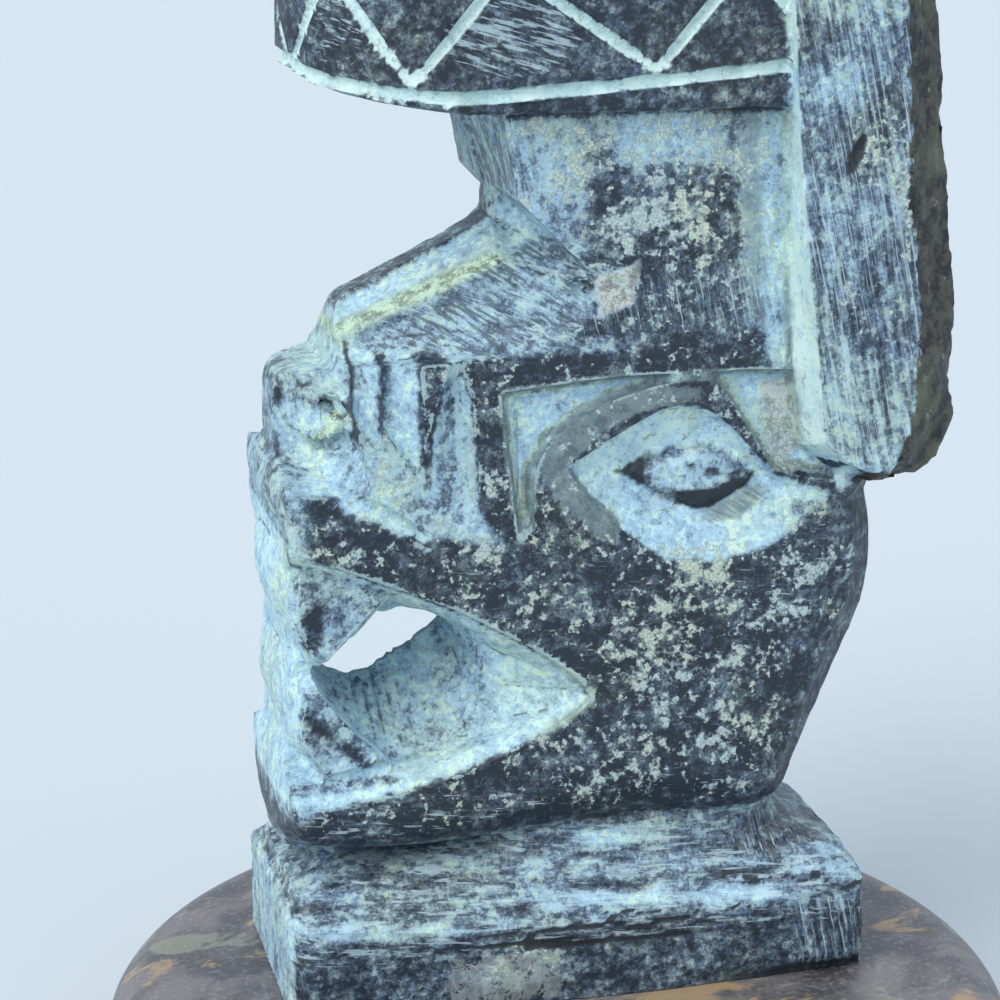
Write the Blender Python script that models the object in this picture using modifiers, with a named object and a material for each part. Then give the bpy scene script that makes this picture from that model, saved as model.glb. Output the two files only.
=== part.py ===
"""Stone totem: a fanged head in profile, carved in one with its plinth, on a round stone base.

Units are metres and +Z is up. The origin is the centre of the base's underside. The head
looks along -X. It is the same on both sides of its middle plane, so one side is modelled,
the side toward -Y, and mirrored.
"""

import math

import bmesh
import bpy
from mathutils import Vector

# The round base, turned and polished, and the totem's place on it
BASE_RADIUS = 0.111
BASE_THICKNESS = 0.032
BASE_RIM = 0.0155
BASE_STEPS = 48
BASE_BOW = 6
WELD = 0.00005
TOUCH_GAP = 0.0003
TOTEM_X = 0.0013
TOTEM_Y = 0.011

# The plinth, whose sides stand upright below a domed top
PLINTH_LENGTH = 0.1420
PLINTH_WIDTH = 0.0708
PLINTH_SIDE = 0.0229
PLINTH_DOME = 0.013
PLINTH_SAG = 0.004
PLINTH_CORNER = 0.007

# The head, from the plinth's top edge to the crown, and its three widths
HEAD_HEIGHT = 0.231
CHEEK_WIDTH = 0.062
HAT_WIDTH = 0.072
PANEL_WIDTH = 0.080

# Cut lines on the hat, and half their width above the surface and at the floor as shares of it
GROOVE_WIDTH = 0.0034
GROOVE_DEPTH = 0.0016
ZIGZAG_WIDTH = 0.0030
GROOVE_MOUTH = 0.62
GROOVE_FLOOR = 0.30

# The carving is drawn on a grid of 231 steps in height and 31 from the middle to the cheek.
# A point of it is (x, z, h): x back from the plinth's middle, z up from the plinth's edge
# and h out from the middle plane.
STEP = HEAD_HEIGHT / 231
DEPTH = CHEEK_WIDTH / 62
CHEEK = 31
HAT = 0.5 * HAT_WIDTH / DEPTH
PANEL = 0.5 * PANEL_WIDTH / DEPTH

# Cutters start beyond the widest plane and slope in from just over the cheek, and masses end
# beyond the middle plane
OVER = 5
OUTSIDE = max(CHEEK, HAT, PANEL) + OVER
BRIM = 0.3

# Depths of the carving below the cheek, on the grid
FIELD_DEPTH = 3.4
SOCKET_DEPTH = 5.6
FLARE_DEPTH = 12.5

# The hat's rim, line, shoulder and crown, on the grid, and the round front of its plan
HAT_FOOT = 188.5
HAT_LINE = 225.0
HAT_SHOULDER = 36.5
HAT_CROWN = 42.8
HAT_ROUND = 34
HAT_ROUND_BACK = -31
HAT_RUN = 50
HAT_BACK = 45


def clear_scene():
    for item in list(bpy.data.objects):
        bpy.data.objects.remove(item, do_unlink=True)


def collection(name):
    group = bpy.data.collections.new(name)
    bpy.context.scene.collection.children.link(group)
    return group


def material(name, colour, roughness):
    stone = bpy.data.materials.new(name)
    stone.use_nodes = True
    shader = stone.node_tree.nodes["Principled BSDF"]
    shader.inputs["Base Color"].default_value = (*colour, 1.0)
    shader.inputs["Roughness"].default_value = roughness
    shader.inputs["Metallic"].default_value = 0.0
    stone.diffuse_color = (*colour, 1.0)
    return stone


def grid(x, z, h):
    """A point of the carving's grid in the totem's own frame."""
    return Vector((x * STEP, -h * DEPTH, z * STEP))


def mesh_object(name, build, group):
    """An object in a collection, with faces out, from a function that fills a bmesh."""
    shape = bmesh.new()
    build(shape)
    bmesh.ops.recalc_face_normals(shape, faces=shape.faces)
    mesh = bpy.data.meshes.new(name)
    shape.to_mesh(mesh)
    shape.free()
    item = bpy.data.objects.new(name, mesh)
    group.objects.link(item)
    return item


def loft(name, rings, group):
    """A closed solid through rings that have the same number of points."""

    def build(shape):
        loops = [[shape.verts.new(point) for point in ring] for ring in rings]
        count = len(loops[0])
        for lower, upper in zip(loops, loops[1:]):
            for i in range(count):
                j = (i + 1) % count
                shape.faces.new((lower[i], lower[j], upper[j], upper[i]))
        shape.faces.new(loops[0])
        shape.faces.new(loops[-1])

    return mesh_object(name, build, group)


def hull(name, points, group):
    """The convex hull of points, as of a chisel's flat cuts."""

    def build(shape):
        verts = [shape.verts.new(point) for point in points]
        made = bmesh.ops.convex_hull(shape, input=verts)
        inner = {v for v in made["geom_interior"] if isinstance(v, bmesh.types.BMVert)}
        bmesh.ops.delete(shape, geom=list(inner), context="VERTS")
        bmesh.ops.dissolve_limit(shape, angle_limit=0.002, verts=shape.verts, edges=shape.edges)

    return mesh_object(name, build, group)


def chip(name, floor, group):
    """A cutter that takes off everything outside the flat facets through the floor's points."""
    outer = [(x, z, OUTSIDE) for x, z, h in floor]
    return hull(name, [grid(*point) for point in floor + outer], group)


def curve(points, parts):
    """Points along a smooth curve through the given ones, with parts to each stretch."""
    rows = [Vector(point) for point in points]
    ends = [2 * rows[0] - rows[1]] + rows + [2 * rows[-1] - rows[-2]]
    line = []
    for before, start, stop, after in zip(ends, ends[1:], ends[2:], ends[3:]):
        for k in range(parts):
            t = k / parts
            bend = 2 * start + t * (stop - before)
            bend += t * t * (2 * before - 5 * start + 4 * stop - after)
            bend += t * t * t * (3 * start - before - 3 * stop + after)
            line.append(0.5 * bend)
    line.append(rows[-1])
    return [tuple(point) for point in line]


def slab(name, outline, half, steps, group):
    """A plate from just beyond the middle plane to a flat near face, with its edge rounded.

    Each outline point is (x, z, r), and r is the rounding's radius at that point.
    """
    count = len(outline)
    flat = [Vector((x, z)) for x, z, r in outline]
    turn = sum(a.x * b.y - b.x * a.y for a, b in zip(flat, flat[1:] + flat[:1]))
    side = 1 if turn > 0 else -1
    inward = []
    for i in range(count):
        first = (flat[i] - flat[i - 1]).normalized()
        second = (flat[(i + 1) % count] - flat[i]).normalized()
        normal = Vector((-first.y - second.y, first.x + second.x)) * side
        inward.append(normal.normalized())
    rings = [[grid(x, z, -OVER) for x, z, r in outline]]
    for k in range(steps + 1):
        angle = 0.5 * math.pi * k / steps
        ring = []
        for (x, z, r), normal in zip(outline, inward):
            inset = r * (1 - math.cos(angle))
            rise = half - r + r * math.sin(angle)
            ring.append(grid(x + inset * normal.x, z + inset * normal.y, rise))
        rings.append(ring)
    return loft(name, rings, group)


def closed(outline, count):
    """Evenly spaced points around a closed outline of (x, z), from its first point."""
    rows = [Vector(point) for point in outline] + [Vector(outline[0])]
    lengths = [0.0]
    for a, b in zip(rows, rows[1:]):
        lengths.append(lengths[-1] + (b - a).length)
    points = []
    place = 0
    for k in range(count):
        target = lengths[-1] * k / count
        while lengths[place + 1] < target:
            place += 1
        share = (target - lengths[place]) / (lengths[place + 1] - lengths[place])
        points.append(tuple(rows[place].lerp(rows[place + 1], share)))
    return points


def level(outline, h):
    return [grid(x, z, h) for x, z in outline]


def rim_rings(outline, count):
    """A cutter's upright part, from outside the stone to just over the cheek."""
    points = closed(outline, count)
    return [level(points, OUTSIDE), level(points, CHEEK + BRIM)]


def oval(front, back, half, z, power, count):
    """A rounded rectangle in plan at one height of the grid."""
    middle = 0.5 * (front + back)
    reach = 0.5 * (back - front)
    ring = []
    for k in range(count):
        angle = 2 * math.pi * k / count
        c = math.cos(angle)
        s = math.sin(angle)
        x = middle + reach * math.copysign(abs(c) ** (2 / power), c)
        h = half * math.copysign(abs(s) ** (2 / power), s)
        ring.append(grid(x, z, h))
    return ring


def apply_boolean(target, tool, operation):
    step = target.modifiers.new(tool.name, "BOOLEAN")
    step.operation = operation
    step.solver = "EXACT"
    step.object = tool


def make_base(group, stone):
    """The base's profile, top to bottom along its outer side, turned about the axis."""
    arc = []
    for k in range(BASE_BOW + 1):
        angle = math.pi * (0.5 - k / BASE_BOW)
        x = BASE_RADIUS - BASE_RIM + BASE_RIM * math.cos(angle)
        arc.append((x, 0.5 * BASE_THICKNESS + BASE_RIM * math.sin(angle)))
    rim_top = BASE_RADIUS - BASE_RIM
    profile = [(0, BASE_THICKNESS), (rim_top - BASE_RIM, BASE_THICKNESS)]
    profile += arc
    profile += [(rim_top - BASE_RIM, 0), (0, 0)]
    mesh = bpy.data.meshes.new("round_base")
    edges = [(i, i + 1) for i in range(len(profile) - 1)]
    mesh.from_pydata([(x, 0, z) for x, z in profile], edges, [])
    base = bpy.data.objects.new("round_base", mesh)
    group.objects.link(base)
    turn = base.modifiers.new("Turned", "SCREW")
    turn.axis = "Z"
    turn.steps = BASE_STEPS
    turn.render_steps = BASE_STEPS
    turn.use_merge_vertices = True
    turn.merge_threshold = WELD
    turn.use_smooth_shade = True
    mesh.materials.append(stone)
    return base


def make_plinth(group):
    """The plinth's outline in plan, raised as upright sides and drawn in over a domed top."""
    length = 0.5 * PLINTH_LENGTH
    half = 0.5 * PLINTH_WIDTH
    corner = 4
    softening = 0.4

    def ring(end_share, side_share, z, sag):
        radius = PLINTH_CORNER + softening * side_share * half
        long = length * (1 - end_share) - radius
        wide = half * (1 - side_share) - radius
        points = []
        for turn, (sx, sy) in enumerate(((1, 1), (-1, 1), (-1, -1), (1, -1))):
            for k in range(corner + 1):
                angle = 0.5 * math.pi * (turn + k / corner)
                x = sx * long + radius * math.cos(angle)
                y = sy * wide + radius * math.sin(angle)
                points.append(Vector((x, y, z)))
            if turn in (0, 2):
                for share in (0.5, 0.0, -0.5):
                    dip = sag * (1 - share * share)
                    points.append(Vector((sx * share * long, sy * (wide + radius), z - dip)))
        return points

    # Shares of the dome's height, and of the plinth that it is drawn in at the ends and sides
    dome = ((0.42, 0.042, 0.184), (0.80, 0.197, 0.339), (1.0, 0.437, 0.494))
    rings = [ring(0, 0, -PLINTH_SIDE, 0), ring(0, 0, 0, PLINTH_SAG)]
    for rise, ends, sides in dome:
        rings.append(ring(ends, sides, rise * PLINTH_DOME, 0))
    return loft("stone_totem", rings, group)


def make_neck(group):
    """The neck, drawn in between the plinth's dome and the jaw."""
    squareness = 3.2
    rings = []
    for z, front, back, half in (
        (0, -36, 61, 32),
        (5, -33, 59.5, 30.5),
        (10, -27, 55.5, 28),
        (17, -23, 53, 26.8),
        (27, -23, 56, 26.4),
        (42, -26, 62, 29),
        (55, -28, 67, 30),
    ):
        rings.append(oval(front, back, half, z, squareness, 32))
    return loft("neck", rings, group)


def make_head(group):
    """The head as a plate: jaw, back of the head, forehead, snout, nose and chin in turn."""
    nape = [(12, 17, 12), (36, 16, 12), (50, 20, 12), (57, 32, 15), (66.5, 50, 20), (73.5, 66, 20)]
    back = curve(nape + [(75, 81, 19), (72, 96, 15)], 3)
    crown = [(72, 104, 6), (66, 205, 4)]
    forehead = [(-24.5, 205, 2), (-23.5, 184, 2), (-17.3, 168, 2)]
    snout = [(-17.5, 161.5, 2), (-28, 155.5, 2), (-47, 146.3, 2), (-53.3, 142.5, 2), (-55.2, 132, 2)]
    nose = curve([(-56.5, 129, 2), (-65.5, 128, 2), (-68.8, 124, 3), (-69, 110, 3)], 2)
    mouth = [(-69.5, 94, 2.5), (-68, 67, 2.5), (-68.5, 40, 2.5)]
    chin = curve([(-70, 30, 3), (-68, 21, 4), (-58, 17.5, 5), (-38, 16.5, 6), (-14, 16, 10)], 2)
    outline = back + crown + forehead + curve(snout, 2) + nose + mouth + chin
    return slab("head", outline, CHEEK, 3, group)


def front_roll(name, group, low, high, proud, inner, half, tuck):
    """A rounded roll across the front of the face: a lip or a row of front teeth.

    It stands proud of the face's front at the middle and falls back toward both cheeks,
    where its lower edge is tucked up.
    """
    bow = 7
    fullness = 0.7
    root = inner + 8
    rings = []
    for h in (-0.7 * OVER, 0.4 * half, 0.75 * half, half):
        share = max(h, 0) / half
        fall = 2.2 * share ** 3
        foot = low + tuck * share ** 2
        ring = []
        for k in range(bow + 1):
            angle = math.pi * (k / bow - 0.5)
            x = inner - (inner - proud) * math.cos(angle) ** fullness
            z = 0.5 * (foot + high) + 0.5 * (high - foot) * math.sin(angle)
            ring.append(grid(x + fall, z, h))
        ring.append(grid(root, high, h))
        ring.append(grid(root, foot, h))
        rings.append(ring)
    return loft(name, rings, group)


def hat_plan(share):
    """A point of the hat's plan: from the front at 0, round a half oval to 1, then straight back."""
    if share <= 1:
        angle = 0.5 * math.pi * share
        return HAT_ROUND_BACK - HAT_ROUND * math.cos(angle), HAT * math.sin(angle)
    return HAT_ROUND_BACK + (share - 1) * HAT_RUN, HAT


def hat_edge(share):
    """The height of the hat's lower edge, which rises toward the front."""
    if share >= 1:
        return HAT_FOOT
    swing = math.cos(0.5 * math.pi * share)
    return HAT_FOOT + 5 * swing + 3 * swing ** 12


def hat_groove(share):
    """The height of the cut line over the edge. The rim under it deepens toward the back."""
    x, h = hat_plan(share)
    front = HAT_ROUND_BACK - HAT_ROUND
    return hat_edge(share) + 2.8 + 6.6 * max(0.0, (x - front) / (HAT_BACK - front)) ** 1.6


def make_hat(group):
    """The flat hat: a round front, a hollowed underside, upright sides and a low crown.

    Its rings are drawn in toward a centre in plan that stays still.
    """
    shares = [-0.14, -0.05, 0.06, 0.16, 0.3, 0.46, 0.62, 0.8, 1.0, 1.35, 1.75, 2.2, 2.7]
    plan = [hat_plan(share) for share in shares]
    still = 20
    back = plan[-1][0]

    def ring(pull, heights, far):
        points = []
        for (x, h), z in zip(plan, heights):
            ahead = min(x - still, 0) * (1 - pull)
            behind = 0.5 * max(x - still, 0) * (1 - pull)
            points.append(grid(x - ahead - behind, z, h * pull))
        points.append(grid(back - 0.5 * (back - still) * (1 - pull), heights[-1], -far))
        return points

    edge = [hat_edge(share) for share in shares]
    rings = [ring(0.5, [HAT_FOOT + 6] * len(plan), 0.6 * OVER)]
    for rise, inset in ((0, 1.6), (0.9, BRIM), (2.4, 0)):
        rings.append(ring(1 - inset / HAT, [z + rise for z in edge], 1.3 * OVER))
    for rise, inset in ((HAT_SHOULDER, 0), (HAT_CROWN - 2.8, 1.2), (HAT_CROWN - 0.8, 4), (HAT_CROWN, 10)):
        rings.append(ring(1 - inset / HAT, [HAT_FOOT + rise] * len(plan), 1.3 * OVER))
    return loft("hat", rings, group)


def groove(name, path, width, depth, taper, group):
    """A cutter swept along a line on the hat: points are (x, z, h, plan direction out).

    A taper below 1 lifts the stroke out of the stone at both ends.
    """
    spots = [(grid(x, z, h), out) for x, z, h, out in path]
    above = 0.4
    rings = []
    for i, (spot, out) in enumerate(spots):
        before = spots[max(i - 1, 0)][0]
        after = spots[min(i + 1, len(spots) - 1)][0]
        size = taper if i in (0, len(spots) - 1) else 1
        along = (after - before).normalized()
        across = along.cross(out).normalized() * width * size
        lip = spot + above * depth * out
        floor = spot - depth * size * out
        ring = [lip - GROOVE_MOUTH * across, lip + GROOVE_MOUTH * across]
        rings.append(ring + [floor + GROOVE_FLOOR * across, floor - GROOVE_FLOOR * across])
    return loft(name, rings, group)


def on_hat(share, z):
    """A point on the hat's side with the direction that the side faces."""
    x, h = hat_plan(share)
    ahead = hat_plan(share + 0.01)
    out = Vector((-(ahead[1] - h) * DEPTH, -(ahead[0] - x) * STEP, 0)).normalized()
    return x, z, h, out


def cut_hat_lines(totem, group):
    """The line round the hat over its rim and the zigzag above it."""
    run = [-0.06 + 0.12 * k for k in range(23)]
    line = [on_hat(share, hat_groove(share)) for share in run]
    upper = [on_hat(share, HAT_LINE) for share in run]
    for name, path in (("hat_line", line), ("crown_line", upper)):
        tool = groove(name, path, GROOVE_WIDTH, GROOVE_DEPTH, 1, group)
        apply_boolean(totem, tool, "DIFFERENCE")
    corners = ((-0.09, 216), (0.18, 197.4), (0.43, 220.5), (0.81, 195.5), (1.22, 220.5), (1.9, 197.5))
    corners += ((2.3, 220.5), (2.6, 205))
    parts = (0.05, 0.16, 0.38, 0.62, 0.84, 0.95)
    for number, (start, stop) in enumerate(zip(corners, corners[1:])):
        path = []
        for part in parts:
            share, z = Vector(start).lerp(Vector(stop), part)
            path.append(on_hat(share, z))
        name = "zigzag_%d" % (number + 1)
        tool = groove(name, path, ZIGZAG_WIDTH, 0.9 * GROOVE_DEPTH, 0.25, group)
        apply_boolean(totem, tool, "DIFFERENCE")


def make_panel(group):
    """The thick panel behind the head, with a sloped front edge and a rough, broken back edge."""
    # Each pair is a point of the widest outline and the point of the near face inside it
    front = [((42.2, 231), (43, 231)), ((45.5, 184), (46.2, 184)), ((47.2, 154), (49.2, 156))]
    front += [((48.6, 130), (52.2, 132)), ((52, 109), (54.3, 111.5))]
    foot = [((57.5, 104), (60.5, 106)), ((64, 100.5), (65, 104)), ((72.3, 98.8), (70, 103.6))]
    foot += [((80, 100.3), (73.5, 107.5)), ((86, 104.5), (76, 113)), ((89, 114), (77, 120))]
    rear = [((88.8, 130), (76.7, 131)), ((87.4, 145), (75.3, 147)), ((85, 168), (73.5, 170))]
    rear += [((82.8, 195), (72, 192)), ((80.5, 215), (69.6, 213)), ((79, 231), (69, 231))]
    pairs = front + foot + rear
    shoulder = CHEEK - 1
    rings = [[grid(*wide, -1.6 * OVER) for wide, near in pairs]]
    rings.append([grid(*wide, shoulder) for wide, near in pairs])
    rings.append([grid(*near, PANEL) for wide, near in pairs])
    return loft("back_panel", rings, group)


def carve_forehead(totem, group):
    """Flat cuts from the brow's crest back to the side of the head."""
    upper = [(-30, 192, 3.5), (-25, 192, 3.5), (-23.3, 181, 3.5), (-17, 168, 3.5), (-30, 168, 3.5)]
    upper += [(-20.7, 192, 31.6), (-20.7, 180.5, 31.6), (-16, 168, 31.6)]
    lower = [(-17, 169, 3.5), (-16.2, 169, 31.6), (-12.6, 163, 31.6), (-6.6, 157.6, 31.6)]
    lower += [(1.6, 150.7, 31.6), (-17.3, 157.8, 17), (-19, 153.5, 23.5), (-6, 150.5, 27.5)]
    lower += [(-19, 163, 4)]
    for name, floor in (("forehead_cut", upper), ("temple_cut", lower)):
        apply_boolean(totem, chip(name, floor, group), "DIFFERENCE")


def carve_snout(totem, group):
    """The long snout: a narrow crest, two bevels and a leaf-shaped cut below them."""
    ridge = [(-60, 140.5, 4.5), (-53.5, 143.5, 4.5), (-38, 150.5, 4.5), (-20, 160, 4.5), (-16, 165, 4)]
    ridge += [(-60, 150, 3), (-40, 160, 3), (-18, 172, 3)]
    ridge += [(-60, 136, 8), (-54.2, 138.1, 8.5), (-34.9, 147.4, 13), (-16.5, 157.8, 17)]
    bevel = [(-60, 136.2, 7.8), (-54.2, 138.3, 8.3), (-34.9, 147.6, 12.8), (-17, 158, 16.8)]
    bevel += [(-60, 134, 11), (-56.4, 135.5, 12), (-38, 144, 18), (-19, 153.5, 23.7)]
    leaf = [(-60, 134.2, 10.8), (-56.4, 135.7, 11.8), (-38, 144.2, 17.8), (-19, 153.8, 23.5)]
    leaf += [(-6, 150.5, 27), (-56, 131, 17), (-48, 136, 24), (-38, 137.5, 31.4), (-29.5, 135, 31.4)]
    leaf += [(-20.5, 133.5, 31.4), (-11.5, 134.5, 31.4), (-3, 138, 31.4), (3.5, 141.5, 31.4)]
    leaf += [(2.5, 146.5, 31.4)]
    cuts = (("snout_upper_bevel", ridge), ("snout_lower_bevel", bevel), ("leaf_cut", leaf))
    for name, floor in cuts:
        apply_boolean(totem, chip(name, floor, group), "DIFFERENCE")


def carve_nose(totem, group):
    """The nose, narrower than the cheeks, with a wing round each nostril."""
    side = [(-78, 134, 1), (-69, 134, 7.5), (-53, 134, 21), (-53, 112, 21.5), (-58, 111, 18)]
    side += [(-69, 110, 7.5), (-78, 110, 1)]
    under = [(-78, 112, 3), (-68, 112.5, 8.5), (-58, 113.5, 17.5), (-52, 114, 22), (-50, 102, 31.4)]
    under += [(-57.5, 104.5, 31.4), (-62, 107, 31.4), (-78, 105, 31.4)]
    under_snout = [(-48, 139, 24), (-60, 139, 12), (-60, 133, 12), (-51, 133, 20.5)]
    for name, floor in (("nose_side", side), ("nose_under", under), ("snout_under", under_snout)):
        apply_boolean(totem, chip(name, floor, group), "DIFFERENCE")
    wing = [(-68, 120.5, 9.5), (-63, 125.5, 15.5), (-55, 127.5, 22.5), (-52.6, 124, 24.5)]
    wing += [(-52.8, 118.5, 24.8), (-58, 114.5, 21.5), (-62, 113.8, 18), (-66.5, 117, 12)]
    root = [(x, z, 5) for x, z, h in wing]
    apply_boolean(totem, hull("nose_wing", [grid(*p) for p in wing + root], group), "UNION")
    pit = [(-61, 124.2, OUTSIDE), (-55.5, 125, OUTSIDE), (-54, 120, OUTSIDE), (-60, 115, OUTSIDE)]
    pit += [(-61, 124.2, 21), (-55.5, 125, 24), (-54, 120, 24.8), (-60, 115.4, 21.5), (-57.5, 121, 13)]
    apply_boolean(totem, hull("nostril", [grid(*p) for p in pit], group), "DIFFERENCE")


def carve_cheek_cuts(totem, group):
    """Three upright chip cuts beside the nose and a slanting one under them."""
    first = [(-53.2, 136, 22), (-53.4, 120, 22), (-49.5, 113, 24), (-45.6, 140, 29.5)]
    first += [(-46.6, 127, 29.5), (-47.8, 114, 28.5), (-53.2, 140, 24)]
    second = [(-46.2, 134, 25), (-46.2, 120, 24.5), (-44.6, 136, 26), (-38.8, 138.5, 31.4)]
    second += [(-37.6, 127, 31.4), (-37.4, 112, 31.4), (-36.6, 100.5, 31.4), (-47.5, 119, 29)]
    third_left = [(-31.5, 135, 31.4), (-29.5, 125, 27.5), (-28.6, 110, 27), (-28, 98, 29)]
    third_left += [(-36.4, 121, 31.4), (-35.8, 105, 31.4), (-42.6, 99.4, 31.4), (-27, 93, 31.4)]
    third_right = [(-31.9, 135, 31.4), (-30.1, 125, 27.1), (-29.2, 110, 26.6), (-28.8, 98, 28.6)]
    third_right += [(-28.6, 131, 31.4), (-26.2, 122, 31.4), (-25.3, 112, 31.4), (-25.2, 100, 31.4)]
    third_right += [(-26.8, 93, 31.4)]
    slant = [(-58, 103.5, 31.4), (-46, 97.5, 31.4), (-36.5, 88.5, 31.4), (-35.5, 91.5, 31.4)]
    slant += [(-44, 99.5, 31.4), (-56, 106, 31.4), (-54, 103, 29.4), (-40, 94, 29.2)]
    cuts = (("cheek_cut_1", first), ("cheek_cut_2", second), ("cheek_cut_3_left", third_left))
    cuts += (("cheek_cut_3_right", third_right), ("slant_cut", slant))
    for name, floor in cuts:
        apply_boolean(totem, chip(name, floor, group), "DIFFERENCE")


def carve_eye(totem, group):
    """The sunken field round the eye, the raised ring left standing, the socket and the eyeball."""
    count = 30
    ring_top = [(-12.6, 106.5), (-9, 113), (-2.5, 117.6), (5.6, 122), (16.5, 125), (25, 126.4)]
    front_field = [(-21, 125.6), (-16, 88), (-12.5, 95)] + ring_top + [(20, 128), (7.5, 128)]
    front_floor = [(-16.2, 124), (-14.8, 90), (-12.7, 95)] + ring_top + [(20, 127), (7.5, 126.6)]
    back_field = [(27, 127.8), (31.3, 125), (38, 115), (44.5, 104.2), (51, 101.5), (62, 100)]
    back_field += [(62, 126.5), (43, 127.8)]
    back_floor = [(29, 126.6), (31.5, 125), (38.2, 115), (44.7, 104.4), (51, 101.8), (62, 100.5)]
    back_floor += [(62, 125.5), (43, 126.6)]
    fields = (("eye_field", front_field, front_floor), ("eye_field_back", back_field, back_floor))
    for name, field, floor in fields:
        rings = rim_rings(field, count)
        rings.append(level(closed(floor, count), CHEEK - FIELD_DEPTH))
        apply_boolean(totem, loft(name, rings, group), "DIFFERENCE")
    upper_lid = [(-5, 106.5), (3, 112), (17.5, 119.8), (24.5, 120.9), (31, 118), (39, 110)]
    lower_lid = [(56, 91), (45, 84.6), (31, 81.6), (19, 83), (9, 90), (1, 98)]
    lid = curve(upper_lid + [(46, 102.5), (60, 98)], 3) + curve(lower_lid, 3)
    upper_inner = [(-3.6, 106.3), (3.5, 110.8), (17.5, 118.4), (24.5, 119.4), (30.5, 116.8)]
    lower_inner = [(52, 99.6), (42, 95.4), (33.6, 91), (25, 89.8), (14, 92), (4, 98)]
    inner = curve(upper_inner + [(38, 109), (45, 101.8)], 3) + curve(lower_inner, 3)
    upper_edge = [(9.5, 104), (14, 107.6), (22.8, 109.8), (31, 109.2), (36, 107), (40, 104.4)]
    lower_edge = [(40.5, 99.4), (33, 95.2), (28.5, 94.2), (22, 96.6), (14, 100.4)]
    opening = closed(curve(upper_edge + [(42.4, 101.7)], 2) + curve(lower_edge, 2), count)
    rings = rim_rings(lid, count)
    rings += [level(closed(inner, count), CHEEK - 2.6), level(opening, CHEEK - SOCKET_DEPTH)]
    apply_boolean(totem, loft("eye_socket", rings, group), "DIFFERENCE")
    middle = Vector((26, 101.8))
    rings = []
    for share, below in ((1.0, SOCKET_DEPTH + 2.4), (0.95, 5.4), (0.86, 3.6), (0.6, 2.6), (0.25, 2.2)):
        ring = [middle + share * (Vector(point) - middle) for point in opening]
        rings.append(level([tuple(point) for point in ring], CHEEK - below))
    apply_boolean(totem, loft("eyeball", rings, group), "UNION")


def carve_mouth(totem, group):
    """The open mouth: flared from the cheek to a hole that runs through to the other side."""
    count = 34
    edge = [(-80, 96), (-57, 86.5), (-45.5, 81.5), (-34.5, 77), (-21.5, 69.8), (-12.3, 64.5)]
    edge += [(-3, 58), (3, 53), (2, 49), (-9, 42.8), (-18.5, 38.5), (-30.5, 33.8), (-46, 30)]
    edge += [(-58, 28.8), (-80, 28.5)]
    lip = [(-80, 91), (-57, 82.6), (-45.5, 78), (-35, 73.8), (-23.5, 67), (-15, 61.8), (-8, 56.5)]
    lip += [(-4, 52.5), (-5, 49.5), (-12, 45.6), (-20, 42), (-31, 37.8), (-46, 34.6), (-58, 33.8)]
    lip += [(-80, 33.5)]
    deep = [(-80, 88), (-57, 79), (-46, 74.5), (-35, 71.8), (-27, 67.5), (-23.6, 62.5), (-22, 57)]
    deep += [(-21.8, 53), (-22.4, 48.5), (-25, 44), (-28.5, 40), (-36, 36.6), (-46, 36)]
    deep += [(-58, 36.5), (-80, 36.5)]
    rings = rim_rings(edge, count)
    rings.append(level(closed(lip, count), CHEEK - FIELD_DEPTH))
    rings.append(level(closed(deep, count), CHEEK - FLARE_DEPTH))
    apply_boolean(totem, loft("mouth_flare", rings, group), "DIFFERENCE")


def add_lips(totem, group):
    """Rounded lips across the front, joined before the mouth is cut."""
    rolls = (("upper_lip", 92.5, 110, -72, 28, 3), ("lower_lip", 10, 40.5, -71.8, 27, 11))
    for name, low, high, proud, half, tuck in rolls:
        apply_boolean(totem, front_roll(name, group, low, high, proud, -65, half, tuck), "UNION")


def add_teeth(totem, group):
    """Two rows of front teeth, and a pair of fangs on each side."""
    rows = (("upper_teeth", 67.4, 91, -71.2), ("lower_teeth", 41.5, 65.4, -70.6))
    for name, low, high, proud in rows:
        apply_boolean(totem, front_roll(name, group, low, high, proud, -63, 22, 2), "UNION")
    upper = [(-67.5, 90), (-69, 77), (-68.3, 71.2), (-66.2, 67), (-64.8, 62.6), (-60.2, 61.9)]
    upper += [(-57, 67.3), (-54, 71.3), (-45.6, 77.6), (-53, 84)]
    lower = [(-63.6, 59.6), (-66.6, 57.6), (-68.4, 47.2), (-68, 43.4), (-64, 39.5), (-61, 33.5)]
    lower += [(-45.5, 36.8), (-52.6, 43.3), (-57.4, 49), (-60.4, 56)]
    root = 8
    bevel = 2.2
    for name, outline in (("upper_fang", upper), ("lower_fang", lower)):
        middle = sum((Vector(point) for point in outline), Vector((0, 0))) / len(outline)
        face = [tuple(middle + 0.8 * (Vector(point) - middle)) for point in outline]
        top = CHEEK - 2.8
        points = level(outline, root) + level(outline, top - bevel) + level(face, top)
        apply_boolean(totem, hull(name, points, group), "UNION")


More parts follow.
